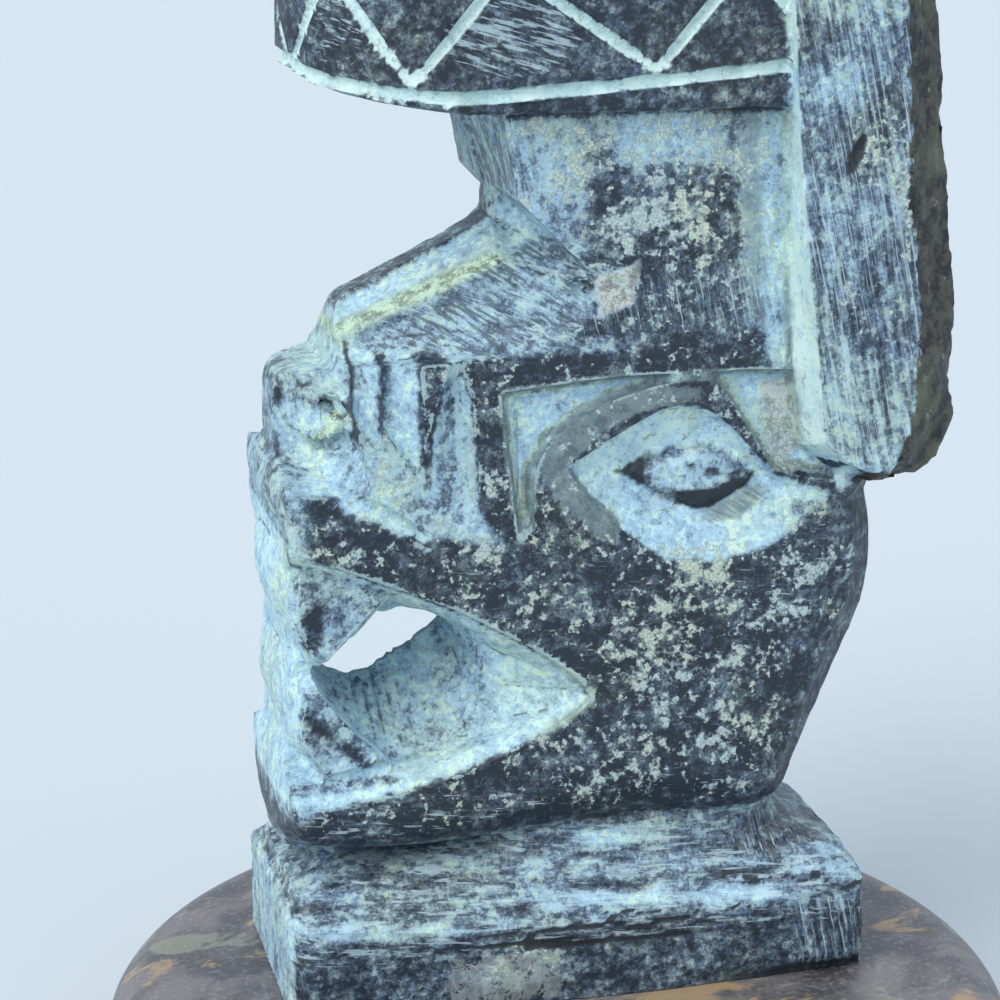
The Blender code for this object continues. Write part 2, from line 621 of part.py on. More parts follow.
def pierce_mouth(totem, group):
    """The hole through the mouth behind the fangs, and the slit between the front teeth.

    The hole was cut from both sides, so it narrows to a waist at the middle plane.
    """
    count = 32
    mouth = [(-64, 60), (-57.5, 66.8), (-50, 71.2), (-41, 73), (-34, 71.6), (-27, 67.5)]
    mouth += [(-23.6, 62.5), (-22, 55), (-22.6, 48.5), (-25, 44), (-28.5, 40), (-36, 36.8)]
    mouth += [(-45, 37.6), (-52.6, 43.6), (-58, 50), (-62, 55.5)]
    waist = [(-62, 60.5), (-56.5, 66), (-49, 70), (-41, 71.5), (-34, 70.5), (-29.5, 68)]
    waist += [(-28.2, 65.5), (-29.2, 63), (-33.4, 59.6), (-39.7, 56), (-46, 52.2), (-50.4, 51)]
    waist += [(-55, 52), (-59.5, 56)]
    rings = [level(closed(waist, count), -OVER), level(closed(waist, count), 1)]
    rings.append(level(closed(mouth, count), CHEEK - 12))
    rings.append(level(closed(mouth, count), OUTSIDE))
    apply_boolean(totem, loft("mouth_hole", rings, group), "DIFFERENCE")
    slit = [(-80, 69, -2 * OVER), (-80, 64, -2 * OVER), (-62.6, 66.4, -2 * OVER)]
    slit += [(-80, 69, 20), (-80, 64, 20), (-64, 66.4, 20)]
    apply_boolean(totem, hull("teeth_slit", [grid(*point) for point in slit], group), "DIFFERENCE")


def make_totem(group, cutters, stone):
    """The whole carving: masses joined, then cut in the order that a carver would work."""
    totem = make_plinth(group)
    for mass in (make_neck(cutters), make_head(cutters)):
        apply_boolean(totem, mass, "UNION")
    add_lips(totem, cutters)
    carve_forehead(totem, cutters)
    carve_snout(totem, cutters)
    carve_nose(totem, cutters)
    carve_cheek_cuts(totem, cutters)
    carve_eye(totem, cutters)
    carve_mouth(totem, cutters)
    add_teeth(totem, cutters)
    pierce_mouth(totem, cutters)
    for mass in (make_panel(cutters), make_hat(cutters)):
        apply_boolean(totem, mass, "UNION")
    cut_hat_lines(totem, cutters)
    mirror = totem.modifiers.new("Other side", "MIRROR")
    mirror.use_axis = (False, True, False)
    mirror.use_bisect_axis = (False, True, False)
    mirror.use_bisect_flip_axis = (False, True, False)
    mirror.merge_threshold = WELD
    totem.data.materials.append(stone)
    return totem


def main():
    clear_scene()
    parts = collection("stone_totem_sculpture")
    cutters = collection("carving_tools")
    dark_stone = material("dark_stone", (0.055, 0.066, 0.082), 0.42)
    brown_stone = material("brown_stone", (0.150, 0.120, 0.110), 0.25)
    make_base(parts, brown_stone)
    totem = make_totem(parts, cutters, dark_stone)
    totem.location = (TOTEM_X, TOTEM_Y, BASE_THICKNESS + TOUCH_GAP + PLINTH_SIDE)
    for tool in cutters.objects:
        tool.hide_render = True
        tool.display_type = "WIRE"
        tool.parent = totem
    bpy.context.view_layer.update()


main()
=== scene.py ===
# %% [markdown]
# Stone totem, dressed for the photograph's view
#
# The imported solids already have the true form: a fanged head carved in one with its hat, its
# back panel and its plinth, standing on a round base. What they lack is the hand of the
# carver: chisel strokes, worn edges, a rough rind of uncut stone on the back edge, and pale
# dust left in every cut below the dark, rubbed surface. This script adds those.
#
# All sizes in the paint and relief cells are in millimetres on the carving's own grid: x runs
# back from the plinth's middle, z up from the plinth's top edge, h out from the middle plane.

# %% Load the frame
import bmesh
import bpy
import math
import numpy as np
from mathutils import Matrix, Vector, noise
from mathutils.bvhtree import BVHTree
from mathutils.kdtree import KDTree


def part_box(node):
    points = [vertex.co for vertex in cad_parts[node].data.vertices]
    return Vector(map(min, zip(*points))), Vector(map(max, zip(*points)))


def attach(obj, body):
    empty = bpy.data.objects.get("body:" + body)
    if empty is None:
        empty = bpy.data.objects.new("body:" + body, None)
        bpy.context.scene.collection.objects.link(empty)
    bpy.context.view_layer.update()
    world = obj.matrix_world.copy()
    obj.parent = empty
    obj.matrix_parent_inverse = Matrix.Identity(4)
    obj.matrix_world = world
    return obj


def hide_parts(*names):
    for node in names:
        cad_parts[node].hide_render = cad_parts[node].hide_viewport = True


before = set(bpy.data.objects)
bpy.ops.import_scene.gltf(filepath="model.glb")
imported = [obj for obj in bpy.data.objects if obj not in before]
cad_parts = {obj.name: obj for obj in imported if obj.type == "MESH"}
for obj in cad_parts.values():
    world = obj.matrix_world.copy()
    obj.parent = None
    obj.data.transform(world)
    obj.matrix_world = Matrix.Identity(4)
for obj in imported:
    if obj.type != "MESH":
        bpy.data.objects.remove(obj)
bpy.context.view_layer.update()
TOTEM_PLACE = (0.0013, 0.0110, 0.0552)
MM = 1000

# %% [markdown]
# The camera stands in front and to the left, a little above, with a long lens. It was fitted
# to the plinth's right angles and to the base's round edge, so it is placed by numbers
# instead of by eye. A shift isn't needed.

# %% Camera
camera_data = bpy.data.cameras.new("camera")
camera = bpy.data.objects.new("camera", camera_data)
bpy.context.scene.collection.objects.link(camera)
camera_data.sensor_width = 36
camera_data.lens = 104.08
camera_data.clip_start = 0.01
camera.location = (-0.1661, -0.6390, 0.3265)
camera.rotation_euler = (math.radians(74.96), 0, math.radians(-13.34))
bpy.context.scene.camera = camera

# %% [markdown]
# The setting is a plain pale floor, wide enough to fill the view behind the object, under soft
# light. The key light comes from high on the left. It is a sun lamp with a wide angle: its
# shadows are as soft as a large studio lamp's, but it doesn't fade with distance, so the floor
# stays even. A weak lamp fills from the right, and the surroundings are a pale blue white.

# %% Floor and light
def finish_mesh(name, shape):
    """A mesh object, at the origin and unturned, from a bmesh."""
    mesh = bpy.data.meshes.new(name)
    shape.to_mesh(mesh)
    shape.free()
    piece = bpy.data.objects.new(name, mesh)
    bpy.context.scene.collection.objects.link(piece)
    return piece


def aimed(lamp, place, aim):
    """A lamp of any kind at a place, turned toward what it lights."""
    holder = bpy.data.objects.new(lamp.name, lamp)
    holder.location = place
    holder.rotation_euler = (Vector(aim) - Vector(place)).to_track_quat("-Z", "Y").to_euler()
    bpy.context.scene.collection.objects.link(holder)


shape = bmesh.new()
bmesh.ops.create_grid(shape, x_segments=1, y_segments=1, size=6.0)
floor = finish_mesh("floor", shape)
pale = bpy.data.materials.new("pale_floor")
pale.use_nodes = True
pale_shader = pale.node_tree.nodes["Principled BSDF"]
pale_shader.inputs["Base Color"].default_value = (0.575, 0.630, 0.660, 1)
pale_shader.inputs["Roughness"].default_value = 0.9
floor.data.materials.append(pale)

middle = (0, 0, 0.14)
key = bpy.data.lights.new("key", "SUN")
key.energy = 2.25
key.angle = math.radians(40)
key.color = (1.0, 0.985, 0.95)
aimed(key, (-0.75, -0.60, 1.02), middle)
fill = bpy.data.lights.new("fill", "AREA")
fill.energy = 1.2
fill.size = 0.80
fill.color = (0.90, 0.95, 1.0)
aimed(fill, (0.70, -0.95, 0.45), middle)
room = bpy.data.worlds.new("room")
bpy.context.scene.world = room
room.use_nodes = True
sky = room.node_tree.nodes["Background"]
sky.inputs["Color"].default_value = (0.76, 0.87, 1.0, 1)
sky.inputs["Strength"].default_value = 0.88
bpy.context.scene.view_settings.view_transform = "Standard"

# %% [markdown]
# The totem needs an even, fine mesh before relief can be pushed into it. A voxel remesh gives
# one, but it blunts edges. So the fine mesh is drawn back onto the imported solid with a
# nearest-point search, and the points that lie close to one of the solid's sharp edges are
# moved onto that edge. That keeps the chisel's facets crisp, where smoothing would melt them.
# How far each point lies from such an edge, and whether the edge stands out, is kept for the
# paint.

# %% Fine mesh of the totem
FINE = 0.00131
CREASE_ANGLE = math.radians(24)
CREASE_STEP = 0.0002
SHARP_ANGLE = math.radians(34)


def merged_copy(node, name):
    """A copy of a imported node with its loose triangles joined."""
    shape = bmesh.new()
    shape.from_mesh(bpy.data.objects[node].data)
    bmesh.ops.remove_doubles(shape, verts=shape.verts, dist=1e-6)
    bmesh.ops.recalc_face_normals(shape, faces=shape.faces)
    return finish_mesh(name, shape)


def baked(piece):
    """The piece's mesh with its modifiers applied."""
    graph = bpy.context.evaluated_depsgraph_get()
    mesh = bpy.data.meshes.new_from_object(piece.evaluated_get(graph))
    piece.modifiers.clear()
    old = piece.data
    piece.data = mesh
    bpy.data.meshes.remove(old)


def points_of(mesh):
    flat = np.empty(len(mesh.vertices) * 3)
    mesh.vertices.foreach_get("co", flat)
    return flat.reshape(-1, 3)


def normals_of(mesh):
    flat = np.empty(len(mesh.vertices) * 3)
    mesh.vertex_normals.foreach_get("vector", flat)
    return flat.reshape(-1, 3)


solid = merged_copy("stone_totem", "solid_form")
tree = BVHTree.FromPolygons([v.co for v in solid.data.vertices], [p.vertices for p in solid.data.polygons])
totem = bpy.data.objects.new("carved_totem", solid.data.copy())
bpy.context.scene.collection.objects.link(totem)
remesh = totem.modifiers.new("even", "REMESH")
remesh.mode = "VOXEL"
remesh.voxel_size = FINE
remesh.use_smooth_shade = True
baked(totem)

shape = bmesh.new()
shape.from_mesh(solid.data)
crease, outward = [], []
for edge in shape.edges:
    if len(edge.link_faces) == 2 and edge.calc_face_angle() > CREASE_ANGLE:
        a, b = (v.co for v in edge.verts)
        count = max(1, int((b - a).length / CREASE_STEP))
        crease += [a.lerp(b, k / count) for k in range(count + 1)]
        outward += [edge.is_convex] * (count + 1)
shape.free()
creases = KDTree(len(crease))
for i, spot in enumerate(crease):
    creases.insert(spot, i)
creases.balance()

points = points_of(totem.data)
edge_gap = np.zeros(len(points))
edge_out = np.zeros(len(points), bool)
for i, point in enumerate(points):
    spot = tree.find_nearest(Vector(point))[0]
    edge_spot, index, gap = creases.find(spot)
    points[i] = edge_spot if gap < 0.5 * FINE else spot
    edge_gap[i], edge_out[i] = gap * MM, outward[index]
totem.data.vertices.foreach_set("co", points.ravel())
totem.data.update()
totem.data.set_sharp_from_angle(angle=SHARP_ANGLE)
bpy.data.objects.remove(solid)
beside_edge = edge_out & (edge_gap < 1)
print("carved_totem faces", len(totem.data.polygons), "points beside an outer edge", int(beside_edge.sum()))

# %% [markdown]
# Relief and paint both need to know where a point lies: its place on the grid, which way its
# surface faces, and soft random fields. The fields come from a seeded noise, so every run
# gives the same stone.

# %% Places and random fields
points = points_of(totem.data)
normals = normals_of(totem.data)
X = (points[:, 0] - TOTEM_PLACE[0]) * MM
Z = (points[:, 2] - TOTEM_PLACE[2]) * MM
SIDE = (TOTEM_PLACE[1] - points[:, 1]) * MM
H = np.abs(SIDE)


def soft(value, low, high):
    """0 below low, 1 above high, with a smooth rise between; low may be the larger."""
    t = np.clip((value - low) / (high - low), 0, 1)
    return t * t * (3 - 2 * t)


def field(size, seed, stretch=(1, 1, 1)):
    """Smooth noise from about -1 to 1 whose lumps are size mm across, drawn out along x, y, z."""
    where = np.stack([X / stretch[0], SIDE / stretch[1], Z / stretch[2]], axis=1) / size
    where += np.array([17.3, 5.1, 9.7]) * seed
    return np.array([noise.noise(p) for p in where]) * 1.6


def within(outline, x, z):
    """Signed distance in mm to a closed outline on the grid, positive inside."""
    rows = np.array(outline, float)
    best = np.full(len(x), 1e9)
    inside = np.zeros(len(x), bool)
    for (ax, az), (bx, bz) in zip(rows, np.roll(rows, -1, axis=0)):
        along = (x - ax) * (bx - ax) + (z - az) * (bz - az)
        t = np.clip(along / ((bx - ax) ** 2 + (bz - az) ** 2), 0, 1)
        best = np.minimum(best, np.hypot(x - ax - t * (bx - ax), z - az - t * (bz - az)))
        crosses = ((az > z) != (bz > z)) & (x < (bx - ax) * (z - az) / (bz - az + 1e-12) + ax)
        inside ^= crosses
    return np.where(inside, best, -best)


def blob(x, z, rx, rz, edge=0.5):
    """1 at the middle of an oval patch on the grid and 0 outside it."""
    return soft(np.hypot((X - x) / rx, (Z - z) / rz), 1, edge)


wander = field(14, 1)
ragged = field(3.2, 2)
print("points", len(X), "wander", round(float(wander.min()), 2), round(float(wander.max()), 2))

# %% [markdown]
# Where the stone was cut below its rubbed faces, pale dust stayed. The rubbed faces are flat:
# the cheek, the hat's side and the panel's side. A point's depth below its own face says
# whether it was carved. The jaw, the back of the head and the crown fall away from those
# faces too, but they were rubbed as well, so outlines on the grid keep them dark.

# %% Regions of the carving
CHEEK = 31.0
HAT = 36.0
PANEL = 40.0
head_zone = soft(Z, 187.5, 186.5) * soft(Z, 10, 14)
hat_zone = soft(Z, 186.8, 188.6) * soft(X, 47, 45)
panel_front = np.interp(Z, [104, 109, 130, 154, 184, 231], [57.5, 52, 48.6, 47.2, 45.5, 42.2])
panel_zone = soft(X - panel_front, -0.8, 0.6) * soft(Z, 97, 99.5)
panel_zone = np.where((Z < 106) & (X < 60), 0, panel_zone)
plinth_zone = soft(Z, 13.5, 11.5)
depth = CHEEK - H

MOUTH = [(-80, 96), (-57, 86.5), (-45.5, 81.5), (-34.5, 77), (-21.5, 69.8), (-12.3, 64.5), (-3, 58)]
MOUTH += [(3, 53), (2, 49), (-9, 42.8), (-18.5, 38.5), (-30.5, 33.8), (-46, 30), (-58, 28.8), (-80, 28.5)]
FIELD_EDGE = [(-21, 125.6), (-16, 88), (-12.5, 95), (-12.6, 106.5), (-9, 113), (-2.5, 117.6), (5.6, 122)]
FIELD_EDGE += [(16.5, 125), (25, 126.4), (31.3, 125), (38, 115), (44.5, 104.2), (62, 100), (62, 127.8)]
FIELD_EDGE += [(7.5, 128)]
EYE = [(-5, 106.5), (3, 112), (17.5, 119.8), (24.5, 120.9), (31, 118), (39, 110), (46, 102.5), (60, 98)]
EYE += [(56, 91), (45, 84.6), (31, 81.6), (19, 83), (9, 90), (1, 98)]
OPENING = [(9.5, 104), (14, 107.6), (22.8, 109.8), (31, 109.2), (36, 107), (42.4, 101.7), (40.5, 99.4)]
OPENING += [(33, 95.2), (28.5, 94.2), (22, 96.6), (14, 100.4)]
RING = [(31, 124), (26.5, 124.5), (14.6, 125.1), (2.8, 122), (-6.6, 116), (-12.4, 108.1), (-6.5, 98.3)]
RING += [(3.1, 89.3), (8, 87.6), (8, 93.8), (0.6, 100.2), (-3.9, 107.4), (3.1, 114.7), (12.6, 119.2)]
RING += [(24.5, 120.8), (34, 118)]
FACE = [(-80, 30), (-60, 27), (-30, 31), (-9, 40), (4, 46), (10, 56), (0, 68), (-30, 84), (-34, 88)]
FACE += [(-14, 86), (-9, 100), (10, 130), (4, 140), (12, 152), (-8, 162), (-20, 187), (-80, 187)]

in_mouth = within(MOUTH, X, Z)
in_field = within(FIELD_EDGE, X, Z)
in_eye = within(EYE, X, Z)
in_opening = within(OPENING, X, Z)
in_ring = within(RING, X, Z)
in_face = within(FACE, X, Z)
print("points on the carved face", int((in_face > 0).sum()))

# %% [markdown]
# Relief comes next. A carver's surface is never flat: it waves a little everywhere, and each
# kind of cut leaves its own strokes. Every stroke pattern is a ripple across a direction with
# some noise in its phase, held to its own region. All of it is pushed along the normals and
# stays within about a millimetre, apart from the panel's uncut back edge.

# %% Relief strokes
def strokes(angle, pitch, seed, sharp=1.0, waver=1.2):
    """Ripples from -1 to 1 across lines at an angle in degrees from x, pitch mm apart."""
    a = math.radians(angle)
    across = -math.sin(a) * X + math.cos(a) * Z + waver * field(9, seed, (1, 1, 1))
    wave = np.sin(2 * math.pi * across / pitch + 1.5 * field(5, seed + 0.5))
    return np.sign(wave) * np.abs(wave) ** sharp


on_cheek = head_zone * soft(depth, 0.7, 0.2) * (1 - panel_zone)
carved = head_zone * soft(depth, 0.5, 1.3) * (1 - panel_zone)
lift = 0.14 * wander + 0.04 * ragged
lift += 0.10 * carved * field(4.5, 3)

# The leaf is the broad hollow between the snout and the brow.
leaf = soft(in_face, -0.5, 0.5) * soft(X, -56, -52) * soft(Z, 132.5, 134.5) * soft(Z - 0.42 * X, 163, 160.5)
leaf *= soft(H, 12, 15)
lift += 0.24 * leaf * strokes(-38, 3.0, 4)
lift -= 0.25 * leaf * soft(field(4, 6, (1.4, 1, 0.7)), 0.1, 0.8)

# Strokes fan out over the lower lid, and the hollows around the eye are lumpy.
lower_lid = soft(in_eye, 0.3, 1.2) * soft(Z, 99, 96)
fan = np.arctan2(Z - 112, X - 24)
lift += 0.16 * lower_lid * np.sin(fan * 46 + 2.0 * field(6, 7))
lift += 0.14 * soft(in_field, 0.5, 1.5) * soft(depth, 2.0, 3.0) * field(3.0, 8)
lift += 0.30 * soft(in_opening, -0.5, 0.8) * soft(depth, 1.6, 2.2) * field(3.4, 9, (1.8, 1, 0.8))
lift += 0.9 * blob(-58, 121.5, 6.5, 6.5, 0.5) * carved * field(3.0, 32)

# The hole was rasped round, the flare behind it cut in long strokes.
hole = soft(depth, 9, 12) * soft(in_mouth, 1, 3) * soft(X, -63, -60)
around = np.arctan2(Z - 56, X + 42)
lift += 0.32 * hole * np.sin(around * 17 + 0.25 * H + 1.4 * field(8, 10))
flare = soft(in_mouth, 0.4, 1.4) * soft(depth, 12, 9) * soft(X, -50, -44)
lift += 0.14 * flare * strokes(28, 5.5, 11)

# Short strokes cross the three upright leaves beside the nose, and the teeth are lumpy.
cuts = soft(X, -55, -53) * soft(X, -24, -25.5) * soft(Z, 95, 100) * soft(Z, 139, 136) * carved
lift += 0.20 * cuts * strokes(4, 2.9, 12)
tooth = soft(X, -66, -68.5) * soft(Z, 24, 30) * soft(Z, 109, 104)
lift += 0.22 * tooth * field(5, 13)

# The rubbed sides keep faint scraper marks, and the panel has one deep nick.
side_face = soft(X, -20, -12) * soft(Z, 135, 142) * head_zone * on_cheek
lift += 0.05 * side_face * strokes(86, 2.6, 14)
panel_side = panel_zone * soft(H, 38.6, 39.6)
lift += 0.09 * panel_side * strokes(98, 3.1, 15)
nick = np.hypot((X - 59.7 - 0.35 * (Z - 178)) / 2.2, (Z - 178) / 6.5)
lift -= 1.4 * panel_side * soft(nick, 1, 0.2)

# The plinth: long strokes along its upper edge with gouges and thin cuts, upright marks on
# its back corner, and strokes across its front end.
band = plinth_zone * soft(Z, 3.5, 0.5) * soft(Z, -10.5, -7) * soft(H, 27, 31)
sweep = strokes(-2.6, 3.9, 16, 0.8, 0.7)
gouges = plinth_zone * soft(Z, -2.5, -4) * soft(Z, -10.5, -8.5) * soft(H, 27, 31) * soft(X, 46, 20)
gouges *= soft(sweep, -0.1, -0.8) * soft(field(22, 31, (3, 1, 1)), -0.6, 0.2)
long_cuts = strokes(-3.6, 6.3, 41, 1.0, 0.5)
thin_cuts = plinth_zone * soft(Z, 5, 3) * soft(Z, -9.5, -7.5) * soft(H, 24, 29)
thin_cuts *= soft(long_cuts, -0.86, -0.98)
thin_cuts *= soft(field(26, 42, (3, 1, 1)), -0.1, 0.3)
lift += 0.16 * band * sweep
lift -= 0.45 * gouges + 0.25 * thin_cuts
dome = soft(Z, -0.5, 2.5) * soft(Z, 20, 15)
lift += 0.20 * dome * strokes(-4, 4.6, 17, 1.0, 2.0)
end_marks = soft(X, 50, 54) * soft(Z, -1.5, -4) * plinth_zone * soft(H, 28, 31)
lift += 0.34 * end_marks * strokes(82, 2.9, 18, 0.8, 0.5)
end_face = soft(X, -69.6, -70.4) * plinth_zone
lift += 0.12 * end_face * np.sin(2 * math.pi * (SIDE + 1.2 * field(12, 19)) / 3.2)

# The back of the head, and small chips lost from the rubbed faces.
nape = soft(X, 44, 56) * soft(Z, 98, 92) * soft(Z, 14, 20) * (1 - panel_zone)
lift += 0.12 * nape * field(3.6, 20, (0.6, 0.6, 2.4))
lost_chips = soft(field(7, 21), 0.55, 0.95)
lift -= 0.30 * lost_chips * soft(depth, 0.9, 0.2) * head_zone

# The zigzag runs round the hat, so its corners are told by how far round they are: 0 is the
# front, 1 the end of the half oval, and each further 1 is a straight 50 mm.
HAT_FRONT = 34
HAT_OVAL_END = -31
HAT_STRAIGHT = 50
QUARTER_ROUND = 52
ZIGZAG = [(-0.09, 216), (0.18, 197.4), (0.43, 220.5), (0.81, 195.5), (1.22, 220.5), (1.9, 197.5)]
ZIGZAG += [(2.3, 220.5)]
ahead = np.maximum(HAT_OVAL_END - X, 0)
oval_depth = (1 - np.hypot(ahead / HAT_FRONT, H / HAT)) * HAT
on_oval = np.arctan2(H / HAT, ahead / HAT_FRONT) / (0.5 * math.pi)
round_hat = np.where(X < HAT_OVAL_END, on_oval, 1 + (X - HAT_OVAL_END) / HAT_STRAIGHT)
corners = [(QUARTER_ROUND * share, z) for share, z in ZIGZAG]
stroke_gap = -within(corners + corners[-2:0:-1], QUARTER_ROUND * round_hat, Z)
corner_gap = np.min([np.hypot(QUARTER_ROUND * round_hat - x, Z - z) for x, z in corners], axis=0)
zigzag = hat_zone * soft(stroke_gap, 1.1, 0.6) * soft(corner_gap, 4.5, 3.0)
lift -= 0.5 * zigzag * soft(oval_depth, 0.8, 0.2)

# %% [markdown]
# The back edge of the panel is the outside of the raw block, left as it broke. It gets lumps,
# flakes and pits of several sizes, a good millimetre deep, so its outline is uneven too. The
# same edge shows along the bottom of the panel. The plinth's lower edge is worn away a little
# toward its back end, which leaves a dark line of shadow over the base; that line is also
# painted on as shade.

# %% Rough rind and worn foot
rim = X - np.interp(Z, [98, 104, 113, 131, 170, 231], [70.5, 71.5, 74.5, 76.2, 73.0, 68.6])
rind = panel_zone * soft(rim + 1.1 * ragged + 0.8 * wander, -0.3, 1.1)
bottom_rim = panel_zone * soft(PANEL - H, 0.6, 1.6) * soft(Z, 112, 106) * soft(X, 62, 68)
rind = np.maximum(rind, bottom_rim)
hollows = np.abs(field(8.5, 22, (1, 1, 1.6))) + 0.35 * np.abs(field(3.4, 23))
lift += rind * (0.6 - 1.4 * hollows)

foot = plinth_zone * soft(Z, -17.5, -22.5)
foot_wear_and_shadow = foot * soft(X, 10, 60) * soft(H, 30, 34)
points[:, 1] += np.sign(SIDE) * foot_wear_and_shadow * (2.6 + 0.8 * wander) / MM

points += normals * (lift / MM)[:, None]
points[:, 2] = np.maximum(points[:, 2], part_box("stone_totem")[0][2])
totem.data.vertices.foreach_set("co", points.ravel())
totem.data.update()
print("relief from", round(float(lift.min()), 2), "to", round(float(lift.max()), 2), "mm")

# %% [markdown]
# Paint is kept as named values at each point, and the stone's material reads them. The first
# says how pale the cut stone is with dust, and where a few slits and the eye's socket get painted
# shade; lime is the yellow-green tint along some edges, rind the uncut edge, crust the
# likelihood of cream flecks, shade the painted shade of dark lines in corners and cuts, and three
# values say where scratches run level, upright or on a slant. Values are laid on from broad to
# small, as a painter would, and stay soft, because the material breaks their borders up.

# %% Paint: dust, with painted shade
def lay(value, patch, strength=1.0):
    """Moves a value toward strength where the patch is 1."""
    return value * (1 - patch) + strength * patch


dust = 0.085 + 0.05 * wander
# The face: everything cut back is pale; the slits between the leaves are rubbed dark stone,
# painted darker still as shade in their steps.
face_cut = soft(in_face, -1, 0.6) * carved
dust = lay(dust, face_cut, 0.76)
UNDER_CUTS = [(-58, 110), (-52, 116), (-46, 115), (-38, 108), (-25, 104), (-24, 96), (-17, 88)]
UNDER_CUTS += [(-30, 91), (-38, 93), (-50, 97), (-58, 102)]
under_cuts = soft(within(UNDER_CUTS, X, Z), -0.8, 1.6) * head_zone
dust = lay(dust, under_cuts, 0.66)
SLANT_CUT = [(-58, 104), (-37, 93), (-36, 90.5), (-58, 101)]
dust = lay(dust, soft(within(SLANT_CUT, X, Z), -0.8, 0.4) * head_zone, 0.95)
STRIP = [(-46.9, 138), (-44.8, 136), (-46.0, 122), (-47.0, 117), (-48.0, 117), (-47.8, 124)]
GAP = [(-38.8, 137), (-32, 135.5), (-34, 126), (-35.6, 115), (-36.5, 104), (-37.9, 103), (-38.6, 110)]
GAP += [(-38, 124)]
# Painted shade: the slits between the leaves are darker than the rubbed stone.
shaded_gaps = np.maximum(soft(within(STRIP, X, Z), -0.5, 0.4), soft(within(GAP, X, Z), -0.5, 0.4))
shaded_gaps *= head_zone * soft(Z, 135, 133.5)
dust = lay(dust, shaded_gaps, 0.06)
HALF_LEAF = [(-32, 134), (-30.4, 132), (-30.3, 118), (-30.6, 100), (-35, 99), (-35.4, 112), (-34, 124)]
dust = lay(dust, soft(within(HALF_LEAF, X, Z), -0.4, 0.6) * head_zone, 0.48)
LOWER_LIP = [(-74, 37), (-51, 37), (-50, 31), (-60, 28.5), (-74, 29)]
dust = lay(dust, soft(within(LOWER_LIP, X, Z), -0.5, 0.6) * head_zone, 0.88)
dust = lay(dust, soft(X, -62.5, -66.5) * head_zone * soft(Z, 22, 28), 0.54)
# The eye and its sunken field, and the mouth.
dust = lay(dust, soft(in_field, -0.2, 0.5) * soft(depth, 0.8, 2.6), 0.76)
dust = lay(dust, soft(in_eye, -0.2, 0.6) * soft(depth, 0.2, 0.8), 0.84)
dust = lay(dust, lower_lid, 0.84)
dust = lay(dust, soft(in_eye, 0.2, 1.0) * soft(Z, 102, 107), 0.98)
dust = lay(dust, soft(in_mouth, -0.3, 0.5) * soft(depth, 0.3, 1.0), 0.86)
dust = lay(dust, hole, 0.64)
# The snout's crest was rubbed again; the brow and the leaf keep half their dust.
crest = soft(H, 6.2, 4.6) * soft(Z, 140, 142) * soft(Z, 172, 166) * soft(X, -12, -16)
dust = lay(dust, crest * soft(in_face, -1, 1), 0.26)
brow = soft(Z, 163, 166) * head_zone * soft(X, -10, -14)
dust = lay(dust, brow, 0.50)
dust = lay(dust, leaf, 0.50)
# The fangs stand near the cheek's face, so they are darker than the mouth.
fang_top = soft(depth, 4.4, 3.4) * soft(depth, 1.6, 2.2) * soft(in_mouth, 0, 1) * soft(X, -43, -46)
upper_fang = fang_top * soft(Z, 60, 63)
lower_fang = fang_top * soft(Z, 61, 58)
dust = lay(dust, upper_fang, 0.53)
dust = lay(dust, upper_fang * blob(-64, 72, 4, 9, 0.4), 0.10)
dust = lay(dust, lower_fang, 0.50)
dust = lay(dust, lower_fang * blob(-55, 38.5, 8, 4.5, 0.6), 0.76)
dust = lay(dust, lower_fang * soft(np.abs(Z - 43.5 + 0.9 * (X + 58)), 2.2, 0.8), 0.08)

# The flat side above the eye is dark in its middle and dusty toward its edges, with a patch of
# beige filler.
upper_side = head_zone * on_cheek * soft(X, -22, -16) * soft(Z, 134, 140)
dust = lay(dust, upper_side, 0.17)
dust = lay(dust, upper_side * soft(Z, 166, 184) * soft(X, 42, 26), 0.50 + 0.3 * wander)
dust = lay(dust, upper_side * soft(X, 6, -8) * soft(Z, 148, 158), 0.62)
beside_panel = upper_side * soft(X - panel_front + ragged, -12.5, -9.5)
dust = lay(dust, beside_panel, 0.60)
dust = lay(dust, upper_side * soft(X - panel_front, -7.5, -5.5), 0.84)
plaster = within([(1, 150), (6, 152), (11.5, 154), (11, 145), (7, 142.5), (2, 142)], X, Z)
beige = soft(plaster + 0.8 * ragged, -0.5, 0.8) * head_zone
dust = lay(dust, beige, 0.85)
# The eyeball is pale; the socket around it is painted dark as shade in the recess.
in_ball = np.hypot((X - 25.5) / 11.0, (Z - 103.6) / 4.3)
socket = soft(in_opening, -0.4, 0.5) * soft(depth, 1.2, 2.0)
dust = lay(dust, socket, 0.34)
dust = lay(dust, socket * soft(in_ball, 1.1, 0.8), 0.66)
print("dust mean", round(float(dust.mean()), 3))

# %% [markdown]
# The hat's cut lines are the palest marks of all. Its front is round, so depth below a flat
# face doesn't find them there. The distance to the hat's plan does: a half oval 34 mm deep and
# 36 mm to each side, then straight sides. The zigzag's strokes were cut up to their corners,
# so the paint runs on to them too.

# %% Paint: hat, panel and plinth
hat_line = hat_zone * soft(oval_depth, 0.35, 0.95) * soft(Z, 227.5, 226) * soft(normals[:, 2], -0.97, -0.8)
dust = lay(dust, hat_zone, 0.12)
dust = lay(dust, hat_zone * soft(X, -50, -60), 0.14)
under_hat = hat_zone * soft(normals[:, 2], -0.4, -0.8)
dust = lay(dust, under_hat, 0.24)
hat_line *= soft(Z, 189.5, 191) * (1 - under_hat)
dust = lay(dust, hat_line, 0.94)
line = np.maximum(hat_line, zigzag * soft(Z, 190, 194))
dust = lay(dust, zigzag, 0.9)

